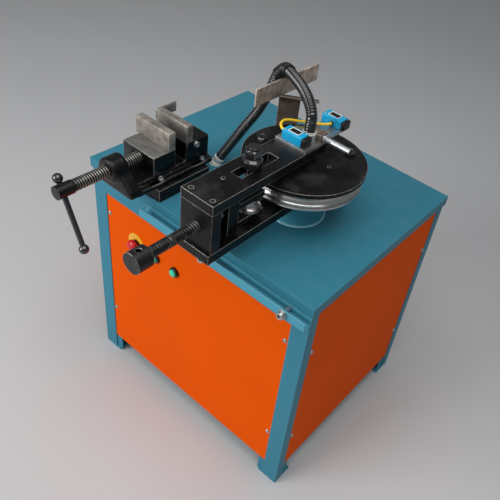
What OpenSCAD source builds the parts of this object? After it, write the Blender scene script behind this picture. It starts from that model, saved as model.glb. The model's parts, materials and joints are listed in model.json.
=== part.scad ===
// Powered pipe bending machine: a sheet steel cabinet carries a swinging arm with a
// screw-fed pressure roller, a fixed round bending die and a screw vise for the pipe.
// X runs along the front of the cabinet, Y from the front to the rear, Z up.
// The origin is on the floor, at the centre of the cabinet's footprint.

/* [Cabinet] */
// Width of the cabinet over the legs
cabinet_w = 700; // [640:1:860]
// Depth of the cabinet over the legs
cabinet_d = 570; // [540:1:700]
// Height of the table's upper face above the floor
table_h = 690; // [640:1:840]
// Thickness of the table plate
table_t = 8; // [6:1:14]
// Overhang of the table past the legs
table_overhang = 4; // [4:0.5:8]
// Depth of the turned-down table edge below the plate
lip_drop = 18; // [12:1:30]
// Width of a leg's face on the front and rear
leg_w = 45; // [35:1:60]
// Width of a leg's face on the sides
leg_d = 28; // [22:1:40]
// Wall of the legs and rails
leg_t = 4; // [3:0.5:6]
// Thickness of the panels
panel_t = 2; // [1:0.5:3]
// Height of the panels' lower edge above the floor
panel_bottom = 60; // [40:1:90]
// Height of the front and rear top rails
top_rail_h = 77; // [60:1:100]
// Height of the band that the motor gearbox takes below the table plate
gearbox_h = 140; // [120:1:170]

/* [Floor anchors] */
// Side of a square foot plate
foot_w = 60; // [50:1:80]
// Thickness of a foot plate
foot_t = 6; // [4:1:10]
// Radius of an anchor hole
anchor_r = 6.5; // [4:0.5:9]

/* [Bending head] */
// Swing axis, distance to the right of the cabinet's centre
pivot_x = 121; // [90:1:150]
// Swing axis, distance from the cabinet's centre towards the rear
pivot_y = -60; // [-90:1:-30]
// Radius of the bending die over its lips
die_r = 137; // [110:1:150]
// Thickness of the bending die
die_t = 36; // [32:1:42]
// Outer radius of the pipe that the groove fits
pipe_r = 13.5; // [10:0.5:15]
// Overhang of the cover disc past the die's lips
cover_lip = 6; // [2:0.5:8]
// Thickness of the cover disc
cover_t = 10; // [6:1:14]
// Distance of the cover bolts in from the die's lips
cover_bolt_in = 27; // [25:1:40]
// Radius of the fixed spindle
spindle_r = 18; // [14:1:22]
// Outer radius of the drive sleeve round the spindle
sleeve_r = 32; // [28:1:36]
// Outer radius of the bearing boss on the table
boss_r = 67; // [58:1:80]
// Height of the bearing boss above the table
boss_h = 48; // [40:1:60]

/* [Arm] */
// Width of the arm
arm_w = 84; // [76:1:100]
// Room behind the carriage for the roller to draw back
feed_back = 40; // [36:1:70]
// Height of the arm over both plates
arm_h = 141; // [136:1:160]
// Thickness of each arm plate
arm_plate_t = 22; // [16:1:24]
// Thickness of the block at the arm's front
front_block_t = 25; // [20:1:35]
// Width of the slot that guides the roller's axle
slot_w = 28; // [26:1:34]
// Length of the axle's slot
slot_len = 112; // [100:1:120]

/* [Pressure roller] */
// Radius of the roller over its flanges
roller_r = 29; // [24:1:32]
// Height of the roller
roller_h = 31; // [29:1:34]
// Gap between the roller's flanges and the die's lips at rest
roller_gap = 19; // [19:1:30]
// Radius of the roller's axle
axle_r = 12; // [9:0.5:12]
// Radius of the feed screw's thread
feed_r = 12; // [10:0.5:14]
// Radius of the feed screw's head
feed_head_r = 22; // [18:1:26]
// Length of the feed screw's head
feed_head_len = 34; // [28:1:44]
// Free length of the feed screw ahead of the arm
feed_free_len = 119; // [100:1:140]
// Radius of the bar hole through the feed screw's head
feed_bar_hole_r = 6; // [4:0.5:8]

/* [Vise] */
// Centre line of the vise, distance from the cabinet's centre
vise_x = -182; // [-190:1:-170]
// Width of the jaws
jaw_w = 104; // [90:1:120]
// Width of the vise's flange
vise_flange_w = 134; // [134:1:160]
// Length of the vise's body
vise_len = 252; // [246:1:270]
// Height of the pipe's centre above the vise's riser
grip_h = 88; // [76:1:92]
// Play behind the pipe at the fixed jaw
grip_play = 3.5; // [2:0.5:6]
// Opening between the jaw plates at rest
jaw_gap = 35; // [30:1:44]
// Thickness of a jaw plate
jaw_plate_t = 19; // [14:1:20]
// Height of a jaw plate
jaw_plate_h = 45; // [38:1:60]
// Height of the jaw blocks above the guides
jaw_block_h = 47; // [42:1:56]
// Radius of the vise screw's thread
vise_screw_r = 14; // [12:0.5:16]
// Radius of the vise screw's head
vise_head_r = 15.5; // [15:0.5:20]
// Radius of the sliding bar
bar_r = 6; // [4:0.5:7]
// Radius of the balls on the sliding bar
ball_r = 11; // [9:0.5:13]
// Length of the sliding bar between the ball centres
bar_len = 165; // [140:1:200]
// Lean of the sliding bar from upright
bar_lean = 24; // [0:1:60]

/* [Controls] */
// Distance of the row of controls below the panel's upper edge
control_drop = 99; // [60:1:120]
// Emergency stop, distance from the cabinet's centre
estop_x = -193; // [-220:1:-170]
// Radius of the emergency stop's mushroom head
estop_r = 17; // [15:1:24]
// Places of the two push buttons along the front
button_x = [-121, -52];
// Radius of a push button's bezel
bezel_r = 14; // [12:0.5:16]
// Radius of a push button's cap
button_r = 10; // [8:0.5:11]

/* [Sensing] */
// Overlap of the flag strip on its post
flag_lap = 8; // [6:1:30]
// Length of the flag strip on the post
flag_len = 234; // [180:1:260]
// Height of the flag strip
flag_h = 44; // [30:1:46]
// Outer radius of the corrugated conduit over its ribs
conduit_r = 13; // [10:0.5:13]
// Spacing of the conduit's ribs
rib_pitch = 6; // [5:0.5:10]
// Radius of the proximity sensor's barrel
sensor_r = 7; // [5:0.5:7]
// Length of the proximity sensor
sensor_len = 90; // [60:1:100]

/* [Hidden] */
$fn = 48;
// Clearance of a shaft that turns in a bore
run_fit = 0.05;
// Clearance between faces that slide or stand close without touching
slide_gap = 0.3;
// Clearance round a fastener's shank
bolt_gap = 0.3;
// Reach of a cut past a face, and of one shape into the next
past = 1;

// Levels of the bending head, from the table up
table_under = table_h - table_t;
boss_top = table_h + boss_h;
sleeve_flange_t = 12;
sleeve_flange_in = 5;
boss_clear = 2;
bush_t = 4;
bush_len = 20;
arm_bottom = boss_top + boss_clear + sleeve_flange_t;
arm_floor = arm_bottom + arm_plate_t;
arm_top = arm_bottom + arm_h;
arm_ceiling = arm_top - arm_plate_t;
shoulder_r = 28;
shoulder_h = 18;
die_bottom = arm_floor + shoulder_h;
die_top = die_bottom + die_t;
groove_z = die_bottom + die_t / 2;
cover_top = die_top + cover_t;
cover_r = die_r + cover_lip;
cover_bolt_circle = die_r - cover_bolt_in;
cover_bolt_angles = [56, 124, 192];
cover_bolt_r = 8;
cover_bolt_af = 24;
cover_bolt_h = 11;
cover_bolt_depth = 16;
cover_hole_depth = 20;
dimple_place = [60, 12, 0];
dimple_r = 5;
dimple_depth = 4;
spindle_nut_af = 2 * spindle_r + 10;
spindle_nut_h = 20;
spindle_foot_h = 14;
spindle_below = 0.5;

// Cabinet edges
half_w = cabinet_w / 2;
half_d = cabinet_d / 2;
seat_w = 27;
seat_lap = 5;
anchor_in = 36;
lip_gap = 1;
front_panel_top = table_under - top_rail_h;
side_panel_top = table_under - lip_drop;
low_rail = 30;
low_rail_z = panel_bottom + 2;
low_rail_end = half_d - 2 * leg_t - low_rail - slide_gap;
shelf_t = 3;
shelf_top = low_rail_z + low_rail + shelf_t;

// Panel screws: distance in from the panel's edge, heights, and thread
screw_in = 9;
screw_heights = [panel_bottom + 130, front_panel_top - 60];
side_screw_in = 7;
side_screw_heights = [panel_bottom + 130, front_panel_top - 82];
screw_r = 2.2;
screw_head_r = 5;
screw_head_h = 3;
screw_len = 8;

// Trough along the front
trough_left = -146;
trough_right = half_w + 2;
trough_depth = 26;
trough_wall = 3;
trough_h = 22;
trough_top = table_under - 19;
trough_bottom = trough_top - trough_h;
trough_front = -half_d - trough_depth;
trough_clear = 2;
trough_bolt_x = [66, half_w - 55];
trough_bolt_z = trough_bottom + 11;
trough_bolt_r = 6;
trough_washer_r = 11;
trough_washer_t = 3;
trough_head_r = 9;
trough_head_h = 9;
trough_socket_r = 5.5;
trough_socket_depth = 6;

// Arm and carriage
groove_set = 1;
roller_dist = die_r + roller_r + roller_gap;
roller_y = pivot_y - roller_dist;
roller_bottom = groove_z - roller_h / 2;
roller_top = roller_bottom + roller_h;
feed_z = (arm_floor + arm_ceiling) / 2;
slot_back = roller_y + 67;
cheek_t = 14;
cheek_w = 48;
cheek_front = roller_y + 22;
fork_back = roller_y - 55;
fork_block_t = 30;
fork_front = fork_back - fork_block_t;
front_block_back = fork_front - feed_back;
arm_front = front_block_back - front_block_t;
arm_reach = pivot_y - arm_front;
mark_screw_x = -8;
mark_screw_y = front_block_back + 52;
mark_screw_r = 3;
mark_head_r = 5;
mark_head_h = 3;
bottom_plate_toe = 5;
arm_bolt_in = 14;
arm_bolt_r = 5;
arm_bolt_depth = 26;
arm_hole_depth = 30;
axle_stub = 4;
feed_collar_w = 4;
feed_collar_len = 5;
feed_nose_r = 9;
feed_nose_len = 16;
feed_head_back = arm_front - feed_free_len;
feed_head_end = feed_head_back - feed_head_len;
nut_af = 32;
nut_h = 20;
axle_washer_r = 21;
axle_washer_t = 4;

// Vise levels and places
flange_z = groove_z - grip_h;
flange_t = 15;
guide_z = flange_z + flange_t;
guide_h = 11;
jaw_floor = guide_z + guide_h;
jaw_block_top = jaw_floor + jaw_block_h;
fixed_block_t = 54;
fixed_plate_face = pivot_y - die_r + pipe_r + grip_play;
fixed_face = fixed_plate_face + jaw_plate_t;
vise_back = fixed_face + fixed_block_t + 2;
vise_front = vise_back - vise_len;
moving_plate_face = fixed_plate_face - jaw_gap;
moving_plate_back = moving_plate_face - jaw_plate_t;
moving_block_t = 45;
moving_block_back = moving_plate_back - moving_block_t;
jaw_plate_z = jaw_block_top;
strip_t = 4;
strip_h = 26;
strip_tail = 44;
jaw_oil_r = 3;
jaw_oil_depth = 8;
yoke_t = 30;
yoke_r = 30;
yoke_hub_len = 12;
plate_over = 9;
vise_screw_z = jaw_floor + 27;
vise_nose_r = 10;
vise_nose_len = 18;
vise_head_len = 39;
vise_head_end = vise_front - 137;
bar_y = vise_head_end + 16;
bar_up = vise_head_r + ball_r + 1;
vise_bolt_x = vise_flange_w / 2 - 7.5;
vise_bolt_y = [-half_d + 20, vise_back - 30];
vise_bolt_r = 4;
vise_bolt_af = 12;
vise_bolt_h = 6;
vise_slot_len = 30;
lock_screw_r = 4;
lock_head_r = 8;
lock_head_h = 8;
lock_socket_r = 4;
lock_socket_depth = 4;
lock_len = 20;
lock_y = fixed_face + 9;
lock_z = jaw_block_top - 10;
riser_left = 2;
riser_right = 10;
riser_short = 22;

// Sensor plate on the arm, measured from the swing axis, with a tongue to the rear
sensor_plate_t = 7;
sensor_deck = arm_top + sensor_plate_t;
sensor_plate_in = 2;
sensor_plate_front = 67;
sensor_plate_back = 20;
sensor_notch_r = 14;
tongue_left = 16;
tongue_in = 4;
tongue_back = 98;

// Proximity sensor and its clamp, measured from the swivel
sensor_start = 5;
sensor_aside = 2;
sensor_lift = 1;
sensor_nut_at = 22;
sensor_nut_w = 3;
sensor_nut_t = 4;
clamp_start = 9;
clamp_len = 14;
clamp_wall = 5;
clamp_cap = 3;

// Post and flag beside the die
flag_x = pivot_x - cover_r - 16;
flag_t = 4;
flag_y = pivot_y;
flag_bottom = sensor_deck - 7;
post_y = pivot_y + 97;
post_top = flag_bottom + flag_lap;
post_w = 52;
post_t = 4;
post_turn = 35;
post_bar_len = 96;
post_bar_w = 12;
post_x = flag_x + flag_t / 2 + post_w / 2 * cos(post_turn) + post_t * sin(post_turn);
post_foot = 56;
post_foot_t = 6;
post_bar_in = 2;
post_bolt_out = 16;
post_bolt_in = 18;
post_bolt_r = 4;
post_bolt_af = 13;
post_bolt_h = 6;

// Controls
panel_face = -half_d + leg_t - panel_t;
control_z = front_panel_top - control_drop;
button_hole_r = 8;
bezel_h = 7;
bezel_stem_len = 28;
button_well = 4;
button_room = 3.5;
button_back = bezel_h - button_well + button_room;
button_side = 3.5;
button_edge = 1.5;
button_h = 5.7;
button_stem_r = 4;
button_stem_len = 24;
estop_hole_r = 9;
estop_ring_r = 30;
estop_ring_t = 2;
estop_rim = 4;
estop_collar_out = 4;
estop_room = 6;
estop_back = estop_collar_out + estop_room;
estop_skirt = 5;
estop_h = 15;
estop_body_len = 30;
estop_stem_r = 5;
estop_stem_len = 26;

// Motor and gearbox
gearbox_w = 170;
motor_r = 72;
motor_len = 250;
motor_z = table_under - gearbox_h / 2 - 12;
motor_flange_len = 20;
motor_step = 12;
terminal_box = [90, 46, 60];
terminal_at = 60;
terminal_sink = 6;
gearbox_bottom = table_under - gearbox_h;
gearbox_floor = 10;
gearbox_boss_wall = 18;
gearbox_boss_h = 12;
sleeve_bottom = gearbox_bottom + gearbox_floor + past;
spindle_low = gearbox_bottom - gearbox_boss_h - spindle_foot_h;
control_box_size = [220, 120, 200];
control_box_place = [-half_w + 60, 60, shelf_top];

// Conduit route: it climbs from the table, measured from the swing axis and the table,
// and then reaches over the flag to the swing axis, measured from the sensor plate
conduit_climb = [
    [-252, -2, 19], [-248, 2, 29], [-239, 12, 51], [-228, 24, 78], [-213, 39, 114], [-197, 55, 150]
];
conduit_reach = [
    [-186, 69, -25], [-181, 80, 8], [-176, 92, 40], [-160, 98, 59], [-135, 84, 66],
    [-97, 59, 71], [-62, 38, 71], [-33, 20, 66], [-13, 8, 56], [-2, 1, 44],
    [0, 0, 34], [0, 0, 21], [0, 0, 8]
];
conduit_route = concat(
    [for (p = conduit_climb) p + [pivot_x, pivot_y, table_h]],
    [for (p = conduit_reach) p + [pivot_x, pivot_y, sensor_deck]]);
conduit_wall = 1.5;
rib_depth = 1.6;
conduit_sides = 8;
near_rings = 20;

// Glands at the conduit's ends: the lower one leans along the conduit and stands on the table
gland_start = conduit_route[0];
gland_lean = unit(conduit_route[1] - gland_start);
gland_foot = gland_start - gland_lean * (gland_start[2] - table_h) / gland_lean[2];
gland_len = 36;
gland_r = 14.5;
gland_foot_w = 4;
gland_foot_t = 8;
swivel_r = 17;
swivel_hex_h = 4;
swivel_step = 3;

// Route of the switch wire, measured from the swing axis and the sensor plate
wire_route = [
    [-28.4, -48, 12], [-34, -48, 12], [-40, -47, 12], [-51, -38, 13], [-57, -22, 13], [-54, -4, 10],
    [-38, 15, 7], [-20, 29, 7], [-2, 40, 8], [10, 50, 9], [13, 58, 9], [13, 63.6, 9]
];
wire_r = 3;
wire_sides = 8;
wire_steps = 3;

// Limit switches on the arm: size, then centre from the swing axis
switch_size = [52, 28, 22];
switch_front_place = [-2, -49];
switch_rear_place = [10, 78];
switch_nose = 9;
switch_nose_in = 3;
switch_cover = [28, 18, 1.5];

// Shapes that repeat

module block(low, high) {
    translate(low)
        cube(high - low);
}

module rod_z(r, z0, z1) {
    translate([0, 0, z0])
        cylinder(r = r, h = z1 - z0);
}

module rod_y(r, y0, y1) {
    translate([0, y1, 0])
        rotate([90, 0, 0])
            cylinder(r = r, h = y1 - y0);
}

module rod_x(r, x0, x1) {
    translate([x0, 0, 0])
        rotate([0, 90, 0])
            cylinder(r = r, h = x1 - x0);
}

module hexagon_z(across, z0, z1) {
    translate([0, 0, z0])
        cylinder(r = across / sqrt(3), h = z1 - z0, $fn = 6);
}

module scale_signs(sx, sy) {
    mirror([sx < 0 ? 1 : 0, 0, 0])
        mirror([0, sy < 0 ? 1 : 0, 0])
            children();
}

// Swept tubes

function curve(a, b, c, d, t) =
    0.5 * (2 * b + (c - a) * t + (2 * a - 5 * b + 4 * c - d) * t * t
        + (3 * b - a - 3 * c + d) * t * t * t);

function route_point(route, i) =
    i < 0 ? 2 * route[0] - route[1]
    : i >= len(route) ? 2 * route[len(route) - 1] - route[len(route) - 2]
    : route[i];

function smooth(route, steps) = concat(
    [for (i = [0 : len(route) - 2])
        for (s = [0 : steps - 1])
            curve(route_point(route, i - 1), route[i], route[i + 1],
                route_point(route, i + 2), s / steps)],
    [route[len(route) - 1]]);

function lengths(points, i = 0, so_far = 0) =
    i >= len(points) - 1 ? [so_far]
    : concat([so_far], lengths(points, i + 1, so_far + norm(points[i + 1] - points[i])));

function at_length(points, runs, s, i = 0) =
    i >= len(points) - 2 || runs[i + 1] >= s
        ? points[i] + (points[i + 1] - points[i]) * (s - runs[i]) / (runs[i + 1] - runs[i])
        : at_length(points, runs, s, i + 1);

function unit(v) = v / norm(v);

function ring(points, i, r, sides) =
    let (ahead = points[min(i + 1, len(points) - 1)], behind = points[max(i - 1, 0)])
    let (along = unit(ahead - behind), side = unit(cross(along, [0, 1, 0.2])), up = cross(side, along))
    [for (k = [0 : sides - 1])
        points[i] + r * (cos(360 * k / sides) * side + sin(360 * k / sides) * up)];

function skin(rings, sides, first, outward) = [
    for (i = [0 : rings - 2])
        for (k = [0 : sides - 1])
            for (half = [0, 1])
                let (a = first + i * sides + k, b = first + i * sides + (k + 1) % sides)
                let (c = a + sides, d = b + sides)
                let (face = half == 0 ? [a, d, b] : [a, c, d])
                outward ? face : [face[2], face[1], face[0]]
];

function end_ring(sides, a, b, flip) = [
    for (k = [0 : sides - 1])
        for (half = [0, 1])
            let (n = (k + 1) % sides)
            let (face = half == 0 ? [a + k, a + n, b + n] : [a + k, b + n, b + k])
            flip ? [face[2], face[1], face[0]] : face
];

module solid_tube(route, r, sides, steps) {
    points = smooth(route, steps);
    count = len(points);
    last = (count - 1) * sides;
    rings = [for (i = [0 : count - 1]) each ring(points, i, r, sides)];
    caps = [
        for (k = [1 : sides - 2]) [0, k, k + 1],
        for (k = [1 : sides - 2]) [last, last + k + 1, last + k]
    ];
    polyhedron(rings, concat(skin(count, sides, 0, true), caps));
}

module ribbed_hose(route, r, wall, depth, pitch, sides) {
    fine = smooth(route, 6);
    runs = lengths(fine);
    total = runs[len(runs) - 1];
    count = 2 * floor(total / pitch) + 1;
    points = [for (i = [0 : count - 1]) at_length(fine, runs, total * i / (count - 1))];
    outside = [for (i = [0 : count - 1]) each ring(points, i, r - (i % 2 == 0 ? depth : 0), sides)];
    inside = [for (i = [0 : count - 1]) each ring(points, i, r - depth - wall, sides)];
    bore = count * sides;
    last = (count - 1) * sides;
    gaps = [for (i = [0 : count - 2], j = [i + near_rings : max(i + near_rings, count - 1)])
        if (j < count) norm(points[i] - points[j]) - 2 * r];
    echo("least gap of the conduit to itself", min(gaps));
    polyhedron(
        concat(outside, inside),
        concat(
            skin(count, sides, 0, true), skin(count, sides, bore, false),
            end_ring(sides, 0, bore, false), end_ring(sides, last, bore + last, true)));
}

// Cabinet

module leg_section() {
    square([leg_w, leg_t]);
    square([leg_t, leg_d]);
    translate([leg_w - seat_lap, leg_t])
        square([seat_w, leg_t]);
    translate([leg_t, leg_d - seat_lap])
        square([leg_t, seat_w]);
}

module corner_legs() {
    color("#2f7390")
        for (sx = [-1, 1])
            for (sy = [-1, 1])
                scale_signs(sx, sy)
                    difference() {
                        union() {
                            translate([-half_w, -half_d, 0])
                                linear_extrude(table_under)
                                    leg_section();
                            block([-half_w, -half_d, 0], [-half_w + foot_w, -half_d + foot_w, foot_t]);
                        }
                        translate([-half_w + anchor_in, -half_d + anchor_in, 0])
                            rod_z(anchor_r, -past, foot_t + past);
                        leg_screw_holes();
                    }
}

module leg_screw_holes() {
    for (z = screw_heights)
        translate([-half_w + leg_w + screw_in, 0, z])
            rod_y(screw_r + bolt_gap, -half_d, -half_d + 3 * leg_t);
    for (z = side_screw_heights)
        translate([0, -half_d + leg_d + side_screw_in, z])
            rod_x(screw_r + bolt_gap, -half_w, -half_w + 3 * leg_t);
}

module top_frame() {
    color("#2f7390") {
        for (s = [-1, 1]) {
            scale_signs(1, s)
                front_rail(s < 0);
            scale_signs(s, 1)
                block([-half_w, -half_d + leg_d, side_panel_top],
                    [-half_w + leg_t, half_d - leg_d, table_under]);
        }
    }
}

module front_rail(bare) {
    difference() {
        block([-half_w + leg_w, -half_d, front_panel_top], [half_w - leg_w, -half_d + leg_t, table_under]);
        if (!bare)
            for (x = trough_bolt_x)
                translate([x, 0, trough_bolt_z])
                    rod_y(trough_bolt_r + bolt_gap, -half_d - past, -half_d + leg_t + past);
    }
}

module bottom_frame() {
    color("#2f7390")
        for (s = [-1, 1]) {
            scale_signs(1, s)
                block([-half_w + 2 * leg_t, -half_d + 2 * leg_t, low_rail_z],
                    [half_w - 2 * leg_t, -half_d + 2 * leg_t + low_rail, low_rail_z + low_rail]);
            scale_signs(s, 1)
                block([-half_w + 2 * leg_t, -low_rail_end, low_rail_z],
                    [-half_w + 2 * leg_t + low_rail, low_rail_end, low_rail_z + low_rail]);
        }
}

module base_shelf() {
    color("#8a8f93")
        block([-half_w + 3 * leg_t, -half_d + 3 * leg_t, shelf_top - shelf_t],
            [half_w - 3 * leg_t, half_d - 3 * leg_t, shelf_top]);
}

module table_top() {
    edge_w = half_w + table_overhang;
    edge_d = half_d + table_overhang;
    lip_t = table_overhang - lip_gap;
    color("#2f7390")
        difference() {
            block([-edge_w, -edge_d, table_under - lip_drop], [edge_w, edge_d, table_h]);
            block([-edge_w + lip_t, -edge_d + lip_t, table_under - lip_drop - past],
                [edge_w - lip_t, edge_d - lip_t, table_under]);
            translate([pivot_x, pivot_y, 0])
                rod_z(sleeve_r + bush_t, table_under - past, table_h + past);
        }
}

module long_panel() {
    difference() {
        block([-half_w + leg_w + slide_gap, panel_face, panel_bottom],
            [half_w - leg_w - slide_gap, panel_face + panel_t, front_panel_top - slide_gap]);
        for (sx = [-1, 1])
            for (z = screw_heights)
                translate([sx * (half_w - leg_w - screw_in), 0, z])
                    rod_y(screw_r + bolt_gap, panel_face - past, panel_face + panel_t + past);
    }
}

module front_panel() {
    color("#e65a12")
        difference() {
            long_panel();
            translate([estop_x, 0, control_z])
                rod_y(estop_hole_r, panel_face - past, panel_face + panel_t + past);
            for (x = button_x)
                translate([x, 0, control_z])
                    rod_y(button_hole_r, panel_face - past, panel_face + panel_t + past);
        }
}

module rear_panel() {
    color("#e65a12")
        mirror([0, 1, 0])
            long_panel();
}

module left_panel() {
    face = -half_w + leg_t - panel_t;
    color("#e65a12")
        difference() {
            block([face, -half_d + leg_d + slide_gap, panel_bottom],
                [face + panel_t, half_d - leg_d - slide_gap, side_panel_top - slide_gap]);
            for (sy = [-1, 1])
                for (z = side_screw_heights)
                    translate([0, sy * (half_d - leg_d - side_screw_in), z])
                        rod_x(screw_r + bolt_gap, face - past, face + panel_t + past);
        }
}

module right_panel() {
    mirror([1, 0, 0])
        left_panel();
}

module panel_screw() {
    rod_y(screw_head_r, -screw_head_h, 0);
    rod_y(screw_r, -past, screw_len);
}

module panel_screws() {
    color("#c8ccd0") {
        for (sx = [-1, 1])
            for (sy = [-1, 1])
                for (z = screw_heights)
                    scale_signs(1, sy)
                        translate([sx * (half_w - leg_w - screw_in), panel_face, z])
                            panel_screw();
        for (sx = [-1, 1])
            for (sy = [-1, 1])
                for (z = side_screw_heights)
                    translate([sx * (half_w - leg_t + panel_t), sy * (half_d - leg_d - side_screw_in), z])
                        rotate([0, 0, sx * 90])
                            panel_screw();
    }
}

module front_trough() {
    back_top = table_under - lip_drop - trough_clear;
    color("#3f86a0")
        difference() {
            union() {
                block([trough_left, trough_front, trough_bottom],
                    [trough_right, -half_d, trough_bottom + trough_wall]);
                block([trough_left, -half_d - trough_wall, trough_bottom], [trough_right, -half_d, back_top]);
                block([trough_left, trough_front, trough_bottom],
                    [trough_right, trough_front + trough_wall, trough_top]);
            }
            for (x = trough_bolt_x)
                translate([x, 0, trough_bolt_z])
                    rod_y(trough_bolt_r + bolt_gap, trough_front - past, -half_d + past);
        }
}

module trough_bolts() {
    head_front = -trough_washer_t - trough_head_h;
    color("#9aa4a8")
        for (x = trough_bolt_x)
            translate([x, trough_front, trough_bolt_z])
                difference() {
                    union() {
                        rod_y(trough_washer_r, -trough_washer_t, 0);
                        rod_y(trough_head_r, head_front, -trough_washer_t + past);
                        rod_y(trough_bolt_r, -trough_washer_t, trough_depth + leg_t);
                    }
                    translate([0, head_front - past, 0])
                        rotate([-90, 0, 0])
                            cylinder(r = trough_socket_r, h = trough_socket_depth + past, $fn = 6);
                }
}

// Controls

module estop_plate() {
    color("#f2c230")
        translate([estop_x, panel_face, control_z])
            difference() {
                rod_y(estop_ring_r, -estop_ring_t, 0);
                rod_y(estop_hole_r, -estop_ring_t - past, past);
            }
}

module estop_collar() {
    color("#2a2a2c")
        translate([estop_x, panel_face, control_z])
            difference() {
                union() {
                    rod_y(estop_r - estop_rim, -estop_collar_out, -estop_ring_t);
                    rod_y(estop_hole_r - slide_gap, -estop_ring_t - past, estop_body_len);
                }
                rod_y(estop_stem_r + run_fit, -estop_collar_out - past, estop_body_len + past);
            }
}

module estop_button() {
    color("#d3202a")
        translate([estop_x, panel_face, control_z]) {
            rotate([90, 0, 0])
                rotate_extrude()
                    polygon(concat(
                        [[0, estop_back], [estop_r, estop_back]],
                        [for (a = [0 : 15 : 90]) [
                            estop_r * cos(a),
                            estop_back + estop_skirt + (estop_h - estop_skirt) * sin(a)
                        ]]));
            rod_y(estop_stem_r, -estop_back - past, estop_stem_len);
        }
}

module button_bezels() {
    color("#1d1d1f")
        for (x = button_x)
            translate([x, panel_face, control_z])
                difference() {
                    union() {
                        rod_y(bezel_r, -bezel_h, 0);
                        rod_y(button_hole_r - slide_gap, -past, bezel_stem_len);
                    }
                    rod_y(button_r + slide_gap, -bezel_h - past, button_well - bezel_h);
                    rod_y(button_stem_r + run_fit, -bezel_h, bezel_stem_len + past);
                }
}

module push_button(x) {
    color("#2fc08f")
        translate([x, panel_face, control_z]) {
            rotate([90, 0, 0])
                rotate_extrude()
                    polygon([
                        [0, button_back], [button_r, button_back], [button_r, button_back + button_side],
                        [button_r - button_edge, button_back + button_side + button_edge],
                        [0, button_back + button_h]
                    ]);
            rod_y(button_stem_r, -button_back - past, button_stem_len);
        }
}

module start_button() {
    push_button(button_x[1]);
}

module jog_button() {
    push_button(button_x[0]);
}

// Drive and die

module bearing_boss() {
    color("#2f7f9a")
        translate([pivot_x, pivot_y, 0])
            difference() {
                rod_z(boss_r, table_h, boss_top);
                rod_z(sleeve_r + bush_t, table_h - past, boss_top + past);
            }
}

module boss_bushes() {
    color("#b98a3c")
        translate([pivot_x, pivot_y, 0])
            for (z = [table_h, boss_top - bush_len])
                difference() {
                    rod_z(sleeve_r + bush_t - run_fit, z, z + bush_len);
                    rod_z(sleeve_r + run_fit, z - past, z + bush_len + past);
                }
}

module gearbox() {
    half = gearbox_w / 2;
    color("#5d6a70")
        translate([pivot_x, pivot_y, 0])
            difference() {
                union() {
                    block([-half, -half, gearbox_bottom], [half, half, table_under]);
                    rod_z(sleeve_r + gearbox_boss_wall,
                        gearbox_bottom - gearbox_boss_h, gearbox_bottom + past);
                    translate([0, 0, motor_z])
                        rod_x(motor_r - motor_step, -half - motor_flange_len, -half + past);
                }
                rod_z(sleeve_r + run_fit, gearbox_bottom + gearbox_floor, table_under + past);
                rod_z(spindle_r + run_fit, gearbox_bottom - gearbox_boss_h - past, table_under);
            }
}

module motor() {
    x_end = -gearbox_w / 2 - motor_flange_len;
    box_back = -motor_r + terminal_sink;
    color("#4a5358")
        translate([pivot_x, pivot_y, motor_z]) {
            rod_x(motor_r, x_end - motor_len, x_end);
            block([x_end - terminal_at - terminal_box[0], box_back - terminal_box[1], -terminal_box[2] / 2],
                [x_end - terminal_at, box_back, terminal_box[2] / 2]);
        }
}

module control_box() {
    color("#b9bcbe")
        block(control_box_place, control_box_place + control_box_size);
}

module drive_sleeve() {
    color("#3a3d40")
        translate([pivot_x, pivot_y, 0])
            difference() {
                union() {
                    rod_z(sleeve_r, sleeve_bottom, arm_bottom);
                    rod_z(boss_r - sleeve_flange_in, arm_bottom - sleeve_flange_t, arm_bottom);
                }
                rod_z(spindle_r + run_fit, sleeve_bottom - past, arm_bottom + past);
            }
}

module spindle() {
    color("#8d9296")
        translate([pivot_x, pivot_y, 0]) {
            rod_z(spindle_r, spindle_low, arm_top - spindle_below);
            rod_z(shoulder_r, arm_floor + slide_gap, die_bottom);
            rod_z(shoulder_r, spindle_low, spindle_low + spindle_foot_h);
        }
}

module spindle_nut() {
    color("#3a3d40")
        translate([pivot_x, pivot_y, 0])
            difference() {
                hexagon_z(spindle_nut_af, cover_top, cover_top + spindle_nut_h);
                rod_z(spindle_r + run_fit, cover_top - past, cover_top + spindle_nut_h + past);
            }
}

module grooved_wheel(outer, height, mid, bore) {
    rotate_extrude($fn = 96)
        difference() {
            translate([bore, mid - height / 2])
                square([outer - bore, height]);
            translate([outer + groove_set, mid])
                circle(r = pipe_r);
        }
}

module bending_die() {
    color("#c3c5c6")
        translate([pivot_x, pivot_y, 0])
            difference() {
                grooved_wheel(die_r, die_t, groove_z, spindle_r + run_fit);
                cover_bolt_holes(die_top - cover_hole_depth, die_top + past);
            }
}

module cover_bolt_holes(z0, z1) {
    for (a = cover_bolt_angles)
        rotate([0, 0, a])
            translate([cover_bolt_circle, 0, 0])
                rod_z(cover_bolt_r + bolt_gap, z0, z1);
}

module die_cover() {
    color("#1f2021")
        translate([pivot_x, pivot_y, 0])
            difference() {
                rod_z(cover_r, die_top, cover_top, $fn = 96);
                rod_z(spindle_r + run_fit, die_top - past, cover_top + past);
                cover_bolt_holes(die_top - past, cover_top + past);
                translate(dimple_place)
                    rod_z(dimple_r, cover_top - dimple_depth, cover_top + past);
            }
}

module cover_bolts() {
    color("#2a2a2b")
        translate([pivot_x, pivot_y, 0])
            for (a = cover_bolt_angles)
                rotate([0, 0, a])
                    translate([cover_bolt_circle, 0, 0]) {
                        hexagon_z(cover_bolt_af, cover_top, cover_top + cover_bolt_h);
                        rod_z(cover_bolt_r, die_top - cover_bolt_depth, cover_top + past);
                    }
}

// Arm

module arm_outline(front) {
    translate([-arm_w / 2, front])
        square([arm_w, -front]);
    circle(r = arm_w / 2, $fn = 96);
}

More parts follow.
